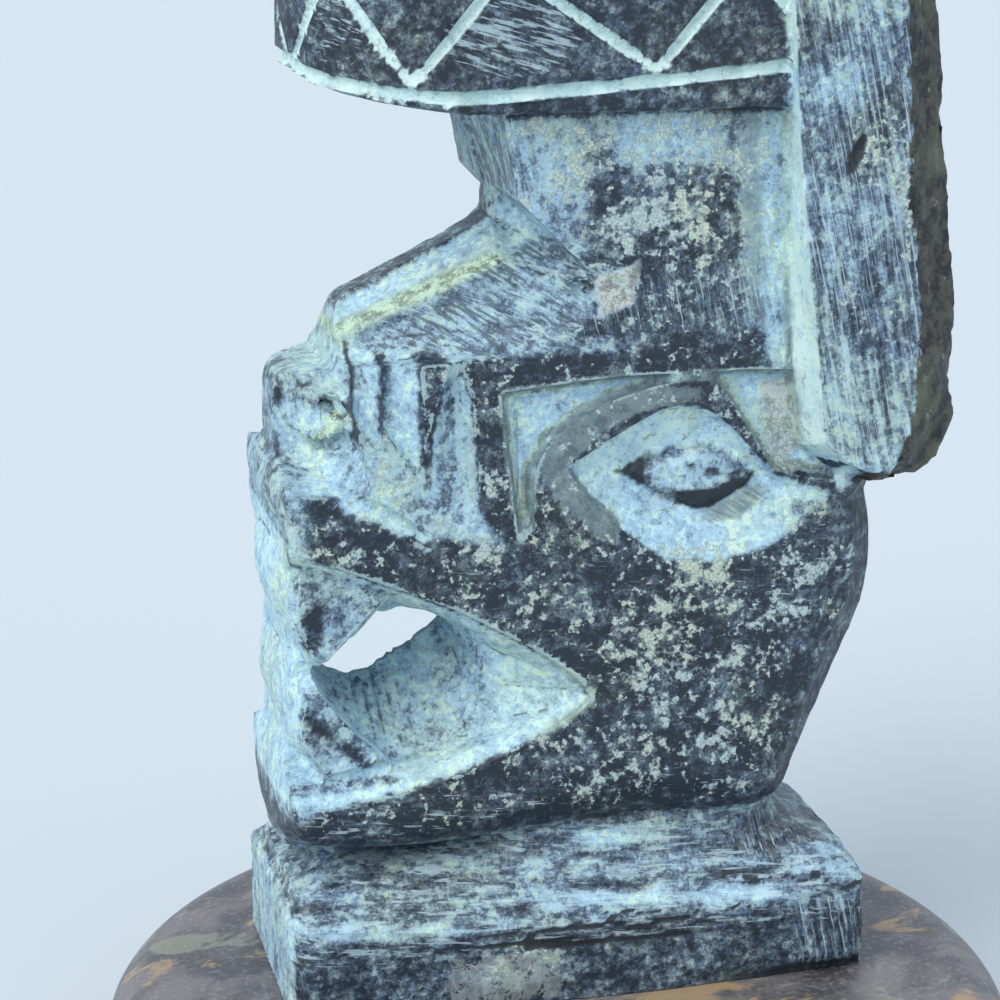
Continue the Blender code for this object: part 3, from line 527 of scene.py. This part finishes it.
# The panel: a pale facet along its front edge, then streaky dust.
front_facet = panel_zone * soft(PANEL - H, 0.3, 0.9) * soft(X - panel_front, 6.5, 4.5) * (1 - rind)
dust = lay(dust, panel_zone, 0.38 + 0.14 * wander)
dust = lay(dust, panel_zone * soft(Z, 140, 106), 0.52)
dust = lay(dust, panel_zone * blob(66, 188, 6, 10, 0.3), 0.16)
dust = lay(dust, front_facet, 0.98)
line = np.maximum(line, 0.56 * front_facet * soft(field(9, 43, (1, 1, 4)), -0.6, 0.3))

# The plinth: its top holds dust in streaks, its sides are dark, its front end is pale. The heel
# is the dark slope where the neck runs out over it.
dust = lay(dust, dome, 0.41 + 0.12 * wander + 0.10 * long_cuts)
dust = lay(dust, band * soft(Z, -7, -2), 0.54 + 0.22 * long_cuts)
dust = lay(dust, band * soft(X, 40, 62), 0.40)
neck = soft(Z, 9, 12) * soft(Z, 22, 17) * soft(depth, 1.5, 4)
dust = lay(dust, neck * soft(X, -36, -20), 0.36)
dust = lay(dust, neck * blob(8, 14, 14, 4, 0.4), 0.75)
heel = dome * blob(48, 11, 14, 8, 0.5)
dust = lay(dust, heel, 0.26)
plinth_side = plinth_zone * soft(Z, -3.5, -7.5)
dust = lay(dust, plinth_side, 0.20 + 0.08 * wander)
dust = lay(dust, plinth_side * blob(-16, -14, 18, 6, 0.4), 0.50)
dust = lay(dust, end_face, 0.66)
dust = lay(dust, nape, 0.15)
dust = lay(dust, rind, 0.05)

# %% Paint: tints, flecks and scratches
# Yellow-green tints run along cut edges: the snout, the eye's field, the strip beside the
# panel, a leaf, the nostril's wing and the mouth's corner.
lime = np.zeros(len(X))
snout_rise = Z - (134.4 + 0.50 * (X + 56.4))
snout_edge = soft(snout_rise, -1.0, 0.3) * soft(snout_rise, 3.6, 2.0)
lime = lay(lime, carved * snout_edge * soft(X, -58, -54) * soft(X, -14, -20))
shaded_ledge_wall = soft(in_field, -0.6, 0.3) * soft(in_field, 2.6, 1.2) * head_zone * soft(in_ring, 0.2, -0.6)
shaded_ledge_wall *= 1 - panel_zone
ledge_line = soft(np.abs(in_field - 1.6), 0.7, 0.2) * soft(depth, 0.4, 1.2) * soft(in_ring, 0.2, -0.6)
ledge_line *= 1 - panel_zone
lime = lay(lime, ledge_line * head_zone, 0.75)
dust = lay(dust, ledge_line * head_zone, 0.9)
strip = soft(X - panel_front, -6.5, -5.5) * soft(X - panel_front, 1.5, 0) * head_zone * soft(Z, 104, 112)
lime = lay(lime, strip * soft(X - panel_front, -2.0, -0.5) * soft(Z, 140, 160), 0.6)
dust = lay(dust, strip * (1 - panel_zone), 0.74 + 0.12 * ragged)
NOSE_STRIP = [(-63.5, 112.5), (-61, 112), (-54.5, 117.5), (-54.2, 121), (-56, 120.5)]
lime = lay(lime, soft(within(NOSE_STRIP, X, Z), -0.7, 0.4), 1.0)
leaf_edge = soft(X, -28.5, -27.6) * soft(X, -25, -25.8) * soft(Z, 97, 101) * soft(Z, 134, 131)
lime = lay(lime, head_zone * carved * leaf_edge, 0.5)
lime = lay(lime, soft(in_mouth, 3.2, 1.0) * soft(in_mouth, -0.3, 0.3) * soft(X, -14, -6), 0.8)
# A grey-green ring lies around the eye's lids.
ring = soft(in_ring, -0.5, 0.5) * head_zone * (1 - panel_zone)
ring *= soft(X, 31, 23)
dust = lay(dust, ring, 0.38)
outer_field = soft(in_field, -0.3, 0.5) * soft(X, 24, 31) * soft(Z, 100, 104) * soft(depth, 0.4, 1.2)
dust = lay(dust, outer_field, 0.84)
lime = lay(lime, outer_field * soft(field(6, 44), -0.3, 0.4), 0.5)
line = np.maximum(line, 0.36 * soft(in_eye, 0.2, 1.0) * soft(Z, 102, 107) * soft(field(5, 45), -0.5, 0.3))
RIM = [(25, 90), (37, 91.3), (45.6, 97.9), (41.9, 99.3), (34.7, 95.5), (26.2, 93.8)]
green_grey = np.zeros(len(X))
# Painted shade: the ledge wall round the eye's field faces away from the light and is painted dark
# grey-green.
green_grey = lay(green_grey, shaded_ledge_wall, 0.92)
green_grey = lay(green_grey, ring, 0.74)
green_grey = lay(green_grey, beside_panel * soft(X - panel_front, -4, -7), 0.45)
green_grey = lay(green_grey, nape, 0.10)
rim_cut = soft(within(RIM, X, Z), -0.6, 0.9) * soft(X, 25, 33) * head_zone
green_grey = lay(green_grey, rim_cut, 0.70)
green_grey = lay(green_grey, strip * soft(X - panel_front, -2.2, -1.0) * soft(Z, 160, 140), 0.85)
corner = within([(41, 126), (50, 126), (53, 110), (50, 101), (45, 103), (42, 113)], X, Z)
beige = np.maximum(beige, 0.75 * soft(corner + 1.2 * ragged, -0.5, 2.0) * head_zone * (1 - panel_zone))
beige = np.maximum(beige, 0.26 * heel)
chunk = within([(-34, -8.5), (-7, -8.7), (-4.5, -24), (-36, -24)], X, Z) * soft(H, 30, 32)
beige = np.maximum(beige, 0.45 * soft(chunk + 1.5 * ragged, 0, 1.5) * plinth_zone)
hatch = leaf * soft(field(7, 35), -0.5, 0.1) * soft(X, -40, -34) * soft(X, 2, -6)
hatch = np.maximum(hatch, 0.6 * rim_cut)

# Cream flecks: each row is an oval patch, x, z, its half width and half height, and how thick
# the flecks lie in it.
crust = 0.10 * on_cheek
for x, z, rx, rz, amount in (
    (13, 163, 15, 13, 1.0), (24, 165, 9, 12, 1.0), (25, 155, 9, 5, 1.0), (-5, 174, 11, 5, 0.7),
    (-22, 88, 9, 5, 0.95), (-26, 90, 4, 3, 1.0), (18, 62, 19, 24, 0.82), (28, 80, 11, 8, 0.95),
    (21, 73, 7, 6, 1.0), (12, 61, 6, 5, 1.0), (19, 53, 6, 4, 1.0), (46, 68, 20, 6, 0.85),
    (56, 80, 16, 5, 0.9), (40, 58, 18, 5, 0.75), (30, 40, 30, 12, 0.65), (10, 30, 24, 8, 0.75),
    (48, 108, 6, 10, 0.9), (20, 84, 10, 4, 0.9), (-4, 118, 4, 5, 0.5),
    (64, 180, 9, 14, 0.6), (70, 172, 4, 7, 1.0), (72, 160, 3.5, 12, 1.0), (63, 150, 12, 26, 0.4),
    (-18, -12, 14, 5, 0.7), (-52, 89, 10, 2.5, 0.9), (36, 26, 18, 4, 0.6),
):
    crust = np.maximum(crust, amount * blob(x, z, rx, rz, 0.25))
crust = np.maximum(crust, 0.42 * upper_side * soft(Z, 160, 172)) * (1 - rind)

# Painted shade: dark lines where shade falls in corners, seams, pits, cracks, cuts and under the plinth's
# foot.
shade = np.zeros(len(X))
pit = np.maximum(blob(-57.5, 122.0, 5.5, 4.6, 0.4), 0.8 * blob(-63, 126, 5.0, 2.2, 0.3)) * carved
shade = lay(shade, pit * soft(field(2.4, 33, (1.6, 1, 0.8)), -0.30, 0.40), 0.75)
nose_front = soft(X, -66.5, -69) * soft(Z, 106, 110) * soft(Z, 130, 127)
dust = lay(dust, nose_front, 0.42)
dust = lay(dust, blob(-64, 124, 6, 5, 0.4) * carved, 0.50)
seams = soft(np.abs(field(8, 36, (1, 1, 0.8))), 0.16, 0.03) * soft(field(11, 37), -0.2, 0.3)
folded = np.maximum(soft(X, -54, -58) * soft(Z, 98, 104), 0.8 * soft(in_eye, 0, 1) * soft(in_opening, 0, -1))
shade = lay(shade, seams * folded * carved, 0.55)
crevice = ~edge_out * soft(edge_gap, 0.9, 0.2) * carved
shade = lay(shade, crevice * soft(field(6, 38), -0.6, 0.2), 0.55)
shade = lay(shade, socket * soft(in_ball, 0.95, 1.15) * soft(Z, 103, 99.5) * soft(X, 19, 25), 0.9)
shade = lay(shade, socket * soft(in_ball, 0.9, 1.1) * soft(X, 16, 13.5), 0.85)
lime = lay(lime, soft(in_eye, 0.2, 1.0) * soft(field(7, 40), -0.2, 0.5) * soft(X, 40, 34), 0.30)
upper_crack = soft(np.abs(Z - 105.2 + 0.22 * (X - 25)), 0.7, 0.2) * soft(X, 22, 26)
lower_crack = soft(np.abs(Z - 103.2 + 0.1 * (X - 25)), 0.5, 0.1) * soft(X, 25, 29) * soft(X, 36, 34)
first_gap = soft(X, -54.0, -53.2) * soft(X, -51.6, -52.6) * soft(Z, 112, 116) * soft(Z, 137, 133)
shade = lay(shade, socket * upper_crack, 0.7)
shade = lay(shade, socket * lower_crack, 0.6)
shade = lay(shade, first_gap * carved, 0.7)
shade = lay(shade, gouges, 0.95)
shade = lay(shade, thin_cuts, 0.8)
# Painted shadow: the worn foot is darkened as the shadow line over the base.
shade = lay(shade, foot_wear_and_shadow, 0.9)
shade = lay(shade, panel_side * soft(nick, 1.1, 0.4), 0.9)
shade = lay(shade, blob(-66.5, 123.5, 3.2, 5.0, 0.4) * soft(field(3.0, 34), -0.2, 0.4), 0.85)

# Some outer edges are worn pale and also carry a painted highlight, and scratches run level,
# upright or on a slant.
edged = np.maximum(soft(in_face, -3, -1) * soft(Z, 30, 36), 0.9 * soft(in_field, -1.5, 0))
edged = np.maximum(np.maximum(edged, soft(in_mouth, -3, -1)), 0.45 * np.maximum(plinth_zone, panel_zone))
worn = edge_out * soft(edge_gap, 1.0, 0.15) * edged * (1 - rind) * soft(field(10, 39), -0.55, 0.15)
level_marks = 0.22 * on_cheek * soft(Z, 100, 88) + 0.9 * dome * (1 - heel) + 0.9 * band + 0.15 * nape
level_marks = np.maximum(level_marks, 0.55 * on_cheek * blob(44, 72, 20, 10, 0.4))
level_marks = np.maximum(level_marks, 0.8 * on_cheek * soft(Z, 34, 24))
upright_marks = 0.7 * side_face * soft(Z, 160, 146) + 0.8 * panel_side + 0.9 * end_marks
upright_marks = np.maximum(upright_marks, 0.6 * front_facet + 0.7 * end_face + 0.5 * brow + 0.6 * heel)
slant_marks = hat_zone * np.maximum(blob(-19, 205, 17, 9, 0.7), 0.5 * blob(-56, 208, 7, 12, 0.4))
slant_marks = np.maximum(slant_marks, 0.35 * leaf)
print("painted", {"lime": round(float(lime.mean()), 3), "crust": round(float(crust.mean()), 3)})


# %% Store the paint on the mesh
def store(mesh, name, values):
    layer = mesh.attributes.new(name, "FLOAT", "POINT")
    layer.data.foreach_set("value", np.clip(values, 0, 1).astype(np.float32))


for name, values in (
    ("dust", dust), ("lime", lime), ("rind", rind), ("crust", crust), ("shade", shade),
    ("level_marks", level_marks), ("upright_marks", upright_marks), ("slant_marks", slant_marks),
    ("line", line), ("beige", beige), ("green_grey", green_grey), ("hatch", hatch), ("worn", worn),
):
    store(totem.data, name, values)

# %% [markdown]
# The stone's material works in layers. First comes one scale of colours, from dark rubbed
# stone to the palest dust. The dust-and-shade value picks the place on it, and noises and small
# random flakes move that place up and down, as dust lies in spots and films. Then the tints, the
# worn edges with their painted highlight, scratches and flecks are laid on, and last the rind and
# the painted shade of the dark lines. The same patterns drive the roughness, and the finest of
# them a shallow bump, so colour and relief agree.

# %% Node helpers
class Recipe:
    """Short ways to add nodes to one material."""

    def __init__(self, name):
        self.material = bpy.data.materials.new(name)
        self.material.use_nodes = True
        self.nodes = self.material.node_tree.nodes
        self.links = self.material.node_tree.links
        self.shader = self.nodes["Principled BSDF"]
        self.place = self.nodes.new("ShaderNodeTexCoord").outputs["Object"]

    def put(self, socket, value):
        if isinstance(value, bpy.types.NodeSocket):
            self.links.new(value, socket)
        elif isinstance(value, tuple):
            socket.default_value = (*value, 1.0) if len(value) == 3 else value
        else:
            socket.default_value = value

    def paint(self, name):
        node = self.nodes.new("ShaderNodeAttribute")
        node.attribute_name = name
        return node.outputs["Fac"]

    def stretched(self, size, turn=(0, 0, 0)):
        """Coordinates turned first and then divided by a size in metres along each axis."""
        node = self.nodes.new("ShaderNodeMapping")
        node.vector_type = "TEXTURE"
        node.inputs["Rotation"].default_value = [math.radians(a) for a in turn]
        node.inputs["Scale"].default_value = size
        self.links.new(self.place, node.inputs["Vector"])
        return node.outputs["Vector"]

    def grain(self, scale, detail=4.0, rough=0.6, where=None, twist=0.0):
        node = self.nodes.new("ShaderNodeTexNoise")
        node.inputs["Scale"].default_value = scale
        node.inputs["Detail"].default_value = detail
        node.inputs["Roughness"].default_value = rough
        node.inputs["Distortion"].default_value = twist
        self.links.new(where or self.place, node.inputs["Vector"])
        return node.outputs["Fac"]

    def chips(self, scale):
        """Distance to scattered points, small inside each round chip."""
        node = self.nodes.new("ShaderNodeTexVoronoi")
        node.inputs["Scale"].default_value = scale
        self.links.new(self.place, node.inputs["Vector"])
        return node.outputs["Distance"]

    def flakes(self, scale, warp):
        """A random value for each small, uneven flake; warp is noise that bends their borders."""
        bent = self.nodes.new("ShaderNodeVectorMath")
        bent.operation = "MULTIPLY_ADD"
        self.links.new(warp, bent.inputs[0])
        bent.inputs[1].default_value = (0.0012, 0.0012, 0.0012)
        self.links.new(self.place, bent.inputs[2])
        node = self.nodes.new("ShaderNodeTexVoronoi")
        node.inputs["Scale"].default_value = scale
        self.links.new(bent.outputs["Vector"], node.inputs["Vector"])
        apart = self.nodes.new("ShaderNodeSeparateColor")
        self.links.new(node.outputs["Color"], apart.inputs["Color"])
        return apart.outputs["Red"]

    def ramp(self, value, low, high, to_low=0.0, to_high=1.0):
        node = self.nodes.new("ShaderNodeMapRange")
        node.interpolation_type = "SMOOTHSTEP"
        self.put(node.inputs["Value"], value)
        ends = {"From Min": low, "From Max": high, "To Min": to_low, "To Max": to_high}
        for socket, number in ends.items():
            self.put(node.inputs[socket], number)
        return node.outputs["Result"]

    def math(self, what, a, b):
        node = self.nodes.new("ShaderNodeMath")
        node.operation = what
        self.put(node.inputs[0], a)
        self.put(node.inputs[1], b)
        return node.outputs[0]

    def mix(self, share, a, b, blend="MIX"):
        node = self.nodes.new("ShaderNodeMix")
        node.data_type = "RGBA"
        node.blend_type = blend
        self.put(node.inputs["Factor"], share)
        self.put(node.inputs["A"], a)
        self.put(node.inputs["B"], b)
        return node.outputs["Result"]

    def scale(self, value, stops):
        """A colour scale: pairs of position and colour."""
        node = self.nodes.new("ShaderNodeValToRGB")
        steps = node.color_ramp.elements
        steps[0].position, steps[1].position = stops[0][0], stops[-1][0]
        for position, colour in stops[1:-1]:
            steps.new(position)
        for step, (position, colour) in zip(steps, stops):
            step.color = (*colour, 1)
        self.links.new(value, node.inputs["Fac"])
        return node.outputs["Color"]

    def bump(self, height, depth):
        node = self.nodes.new("ShaderNodeBump")
        node.inputs["Distance"].default_value = depth
        node.inputs["Strength"].default_value = 1.0
        self.links.new(height, node.inputs["Height"])
        return node.outputs["Normal"]


# %% Carved stone: ground
stone = Recipe("carved_stone")
fine = stone.grain(1500, 3, 0.6)
small = stone.grain(330, 4, 0.64)
broad = stone.grain(45, 2, 0.5)
patchy = stone.grain(120, 4, 0.64)

level_grain = stone.grain(1.0, 3, 0.66, stone.stretched((0.0100, 0.0045, 0.0020), (0, 3, 0)))
upright_grain = stone.grain(1.0, 3, 0.66, stone.stretched((0.0014, 0.0040, 0.0140), (0, -12, 0)))
slant_grain = stone.grain(1.0, 3, 0.66, stone.stretched((0.0080, 0.0040, 0.0016), (0, 28, 0)))
grain = stone.mix(stone.ramp(stone.paint("level_marks"), 0.1, 0.5), small, level_grain)
grain = stone.mix(stone.ramp(stone.paint("upright_marks"), 0.1, 0.5), grain, upright_grain)
grain = stone.mix(stone.ramp(stone.paint("slant_marks"), 0.1, 0.5), grain, slant_grain)

tone = stone.paint("dust")
for part, reach in ((grain, 0.19), (fine, 0.11), (patchy, 0.15)):
    tone = stone.math("ADD", tone, stone.ramp(part, 0.30, 0.70, -reach, reach))
flake = stone.flakes(720, small)
tone = stone.math("ADD", tone, stone.ramp(flake, 0.0, 1.0, -0.11, 0.11))
colour = stone.scale(tone, (
    (0.00, (0.014, 0.022, 0.034)), (0.22, (0.050, 0.076, 0.116)), (0.40, (0.135, 0.195, 0.265)),
    (0.58, (0.275, 0.41, 0.51)), (0.84, (0.37, 0.56, 0.69)), (1.00, (0.48, 0.68, 0.77)),
))
warmer = stone.mix(1.0, colour, (1.10, 1.0, 0.76), "MULTIPLY")
colour = stone.mix(stone.ramp(broad, 0.46, 0.62, 0, 0.55), colour, warmer)
warm_flakes = stone.ramp(patchy, 0.42, 0.56, 0.15, 0.90)
warm_flakes = stone.math("MULTIPLY", stone.ramp(flake, 0.45, 0.80), warm_flakes)
colour = stone.mix(warm_flakes, colour, stone.mix(1.0, colour, (1.16, 1.08, 0.84), "MULTIPLY"))
small_part = stone.ramp(small, 0.30, 0.70, -0.22, 0.22)
broken = stone.math("ADD", small_part, stone.ramp(fine, 0.30, 0.70, -0.12, 0.12))
GREEN_GREY = (0.195, 0.268, 0.275)
BEIGE = (0.50, 0.53, 0.48)
LIME = (0.50, 0.66, 0.50)
for name, tint in (("green_grey", GREEN_GREY), ("beige", BEIGE), ("lime", LIME)):
    share = stone.ramp(stone.math("ADD", stone.paint(name), broken), 0.22, 0.42)
    share = stone.math("MULTIPLY", share, stone.paint(name))
    tint = stone.mix(stone.ramp(broken, -0.14, 0.14), tint, tuple(0.45 * c for c in tint))
    colour = stone.mix(share, colour, tint)
# Worn pale edges, partly a painted highlight along the outer edges.
worn_and_highlight_share = stone.math("ADD", stone.paint("worn"), stone.math("MULTIPLY", broken, 1.6))
worn_and_highlight_share = stone.ramp(worn_and_highlight_share, 0.30, 0.60)
worn_and_highlight_share = stone.math("MULTIPLY", worn_and_highlight_share, stone.ramp(stone.paint("worn"), 0.05, 0.5, 0, 0.6))
colour = stone.mix(worn_and_highlight_share, colour, (0.42, 0.58, 0.60))
line_share = stone.ramp(stone.paint("line"), 0.15, 0.60)
line_share = stone.math("MULTIPLY", line_share, stone.ramp(fine, 0.30, 0.50, 0.6, 1.0))
line_share = stone.math("MULTIPLY", line_share, stone.ramp(patchy, 0.40, 0.58, 0.45, 1.0))
colour = stone.mix(line_share, colour, (0.60, 0.76, 0.72))

pits = stone.ramp(stone.math("ADD", small, stone.ramp(fine, 0.3, 0.7, -0.05, 0.05)), 0.60, 0.66)
pits = stone.math("MULTIPLY", pits, stone.ramp(stone.paint("dust"), 0.35, 0.75, 0.25, 0.75))
colour = stone.mix(stone.math("MULTIPLY", pits, 0.55), colour, (0.070, 0.098, 0.115))

# %% Carved stone: scratches and flecks
marks = None
for name, size, turn, least in (
    ("level_marks", (0.0110, 0.0050, 0.0012), (0, 4, 0), 0.57),
    ("upright_marks", (0.0007, 0.0040, 0.0260), (0, -12, 0), 0.56),
    ("slant_marks", (0.0080, 0.0040, 0.0009), (0, 17, 0), 0.53),
):
    lines = stone.grain(1.0, 3, 0.68, stone.stretched(size, turn))
    reach = stone.math("MULTIPLY", stone.paint(name), 0.10)
    lines = stone.ramp(stone.math("ADD", lines, reach), least + 0.07, least + 0.15)
    lines = stone.math("MULTIPLY", lines, stone.ramp(stone.paint(name), 0.05, 0.35))
    marks = lines if marks is None else stone.math("MAXIMUM", marks, lines)
colour = stone.mix(stone.math("MULTIPLY", marks, 0.6), colour, (0.46, 0.60, 0.66))

hatching = stone.grain(1.0, 3, 0.6, stone.stretched((0.0090, 0.0040, 0.0010), (0, 30, 0)))
hatching = stone.math("MULTIPLY", stone.ramp(hatching, 0.50, 0.56), stone.paint("hatch"))
colour = stone.mix(stone.math("MULTIPLY", hatching, 0.8), colour, (0.055, 0.085, 0.115))

crumbs = stone.grain(480, 3, 0.64)
crumbs = stone.math("ADD", crumbs, stone.ramp(patchy, 0.34, 0.66, -0.06, 0.06))
moss = stone.ramp(stone.math("ADD", crumbs, stone.math("MULTIPLY", stone.paint("crust"), 0.16)), 0.592, 0.672)
moss = stone.math("MULTIPLY", moss, stone.ramp(stone.paint("crust"), 0.02, 0.12))
colour = stone.mix(stone.math("MULTIPLY", moss, 0.75), colour, (0.21, 0.27, 0.275))
flecks = stone.math("ADD", crumbs, stone.math("MULTIPLY", stone.paint("crust"), 0.115))
flecks = stone.ramp(flecks, 0.641, 0.684)
flecks = stone.math("MULTIPLY", flecks, stone.ramp(stone.paint("crust"), 0.02, 0.12))
chips = stone.chips(330)
chips = stone.ramp(stone.math("ADD", chips, stone.ramp(fine, 0.3, 0.7, -0.10, 0.10)), 0.30, 0.20)
chips = stone.math("MULTIPLY", chips, stone.ramp(patchy, 0.47, 0.53))
chips = stone.math("MULTIPLY", chips, stone.ramp(stone.paint("crust"), 0.35, 0.75))
flecks = stone.math("MAXIMUM", flecks, chips)
fleck_colour = stone.mix(stone.ramp(broad, 0.42, 0.58), (0.47, 0.60, 0.60), (0.56, 0.64, 0.50))
fleck_colour = stone.mix(stone.ramp(fine, 0.40, 0.60, 0, 0.75), fleck_colour, (0.25, 0.31, 0.29))
colour = stone.mix(stone.math("MULTIPLY", flecks, 0.9), colour, fleck_colour)

bark = stone.grain(260, 4, 0.74)
rind_colour = stone.mix(stone.ramp(bark, 0.42, 0.60), (0.012, 0.013, 0.015), (0.072, 0.068, 0.054))
rind_colour = stone.mix(stone.ramp(broad, 0.54, 0.66, 0, 0.8), rind_colour, (0.11, 0.12, 0.075))
rind_colour = stone.mix(stone.ramp(small, 0.62, 0.72, 0, 0.7), rind_colour, (0.30, 0.30, 0.24))
rind_share = stone.ramp(stone.math("ADD", stone.paint("rind"), broken), 0.35, 0.60)
colour = stone.mix(rind_share, colour, rind_colour)
# Painted shade: the shade value darkens corners, creases, pits, cuts and the plinth's foot.
painted_shade_share = stone.ramp(stone.math("ADD", stone.paint("shade"), broken), 0.22, 0.50)
painted_shade_share = stone.math("MULTIPLY", painted_shade_share, stone.ramp(stone.paint("shade"), 0.05, 0.70, 0, 0.94))
colour = stone.mix(painted_shade_share, colour, (0.014, 0.018, 0.024))
stone.links.new(colour, stone.shader.inputs["Base Color"])

rough = stone.ramp(tone, 0.20, 0.65, 0.46, 0.80)
stone.links.new(stone.ramp(flecks, 0, 1, rough, 0.85), stone.shader.inputs["Roughness"])
stone.shader.inputs["Specular IOR Level"].default_value = 0.40
height = stone.math("ADD", stone.math("MULTIPLY", small, 0.00030), stone.math("MULTIPLY", fine, 0.00012))
bark_height = stone.math("MULTIPLY", stone.math("MULTIPLY", bark, stone.paint("rind")), 0.0010)
relief = stone.bump(stone.math("ADD", height, bark_height), 1.0)
stone.links.new(relief, stone.shader.inputs["Normal"])

totem.data.materials.clear()
totem.data.materials.append(stone.material)
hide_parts("stone_totem")
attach(totem, "root")

# %% [markdown]
# The base is a disc of another stone, sawn, rounded and polished: brown grey with a violet
# cast, dark veins and patches of orange and olive. It is turned from its own half profile with
# a spin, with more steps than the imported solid, so its rim is truly round. The flat faces get a
# few rings of points of their own, because long thin triangles would shade unevenly.

# %% Round base
BASE_RADIUS = 0.111
BASE_THICKNESS = 0.032
BASE_RIM = 0.0155
RIM_STEPS = 24
TURN_STEPS = 160
FLAT_RINGS = (0.0, 0.03, 0.06)
low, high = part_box("round_base")
print("round base box", [round(v, 4) for v in (*low, *high)])
shape = bmesh.new()
inner = BASE_RADIUS - BASE_RIM
flats = (*FLAT_RINGS, inner - BASE_RIM)
profile = [(x, 0.0) for x in flats]
for k in range(RIM_STEPS + 1):
    angle = math.pi * (k / RIM_STEPS - 0.5)
    across, up = BASE_RIM * math.cos(angle), BASE_RIM * math.sin(angle)
    profile.append((inner + across, 0.5 * BASE_THICKNESS + up))
profile += [(x, BASE_THICKNESS) for x in reversed(flats)]
verts = [shape.verts.new((x, 0, z)) for x, z in profile]
edges = [shape.edges.new(pair) for pair in zip(verts, verts[1:])]
bmesh.ops.spin(
    shape, geom=verts + edges, cent=(0, 0, 0), axis=(0, 0, 1), angle=2 * math.pi,
    steps=TURN_STEPS, use_merge=True
)
bmesh.ops.remove_doubles(shape, verts=shape.verts, dist=1e-6)
bmesh.ops.recalc_face_normals(shape, faces=shape.faces)
for face in shape.faces:
    face.smooth = True
base = finish_mesh("polished_base", shape)
print("polished_base faces", len(base.data.polygons))

# %% Brown stone
brown = Recipe("brown_stone_polished")
cloud = brown.grain(1.0, 6, 0.62, brown.stretched((0.026, 0.016, 0.020), (0, 0, 35)), 0.5)
vein = brown.grain(1.0, 6, 0.66, brown.stretched((0.030, 0.020, 0.020), (0, 0, 28)), 0.6)
speck = brown.grain(700, 4, 0.6)
ground = brown.mix(brown.ramp(cloud, 0.36, 0.62), (0.062, 0.057, 0.062), (0.185, 0.170, 0.172))
ground = brown.mix(brown.ramp(vein, 0.53, 0.60, 0, 0.85), ground, (0.40, 0.27, 0.14))
ground = brown.mix(brown.ramp(vein, 0.40, 0.35, 0, 0.7), ground, (0.26, 0.26, 0.20))
ground = brown.mix(brown.ramp(speck, 0.50, 0.70, 0, 0.45), ground, (0.33, 0.32, 0.33))
brown.links.new(ground, brown.shader.inputs["Base Color"])
brown.links.new(brown.ramp(cloud, 0.3, 0.7, 0.36, 0.52), brown.shader.inputs["Roughness"])
brown.links.new(brown.bump(speck, 0.00004), brown.shader.inputs["Normal"])
base.data.materials.append(brown.material)
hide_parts("round_base")
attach(base, "root")
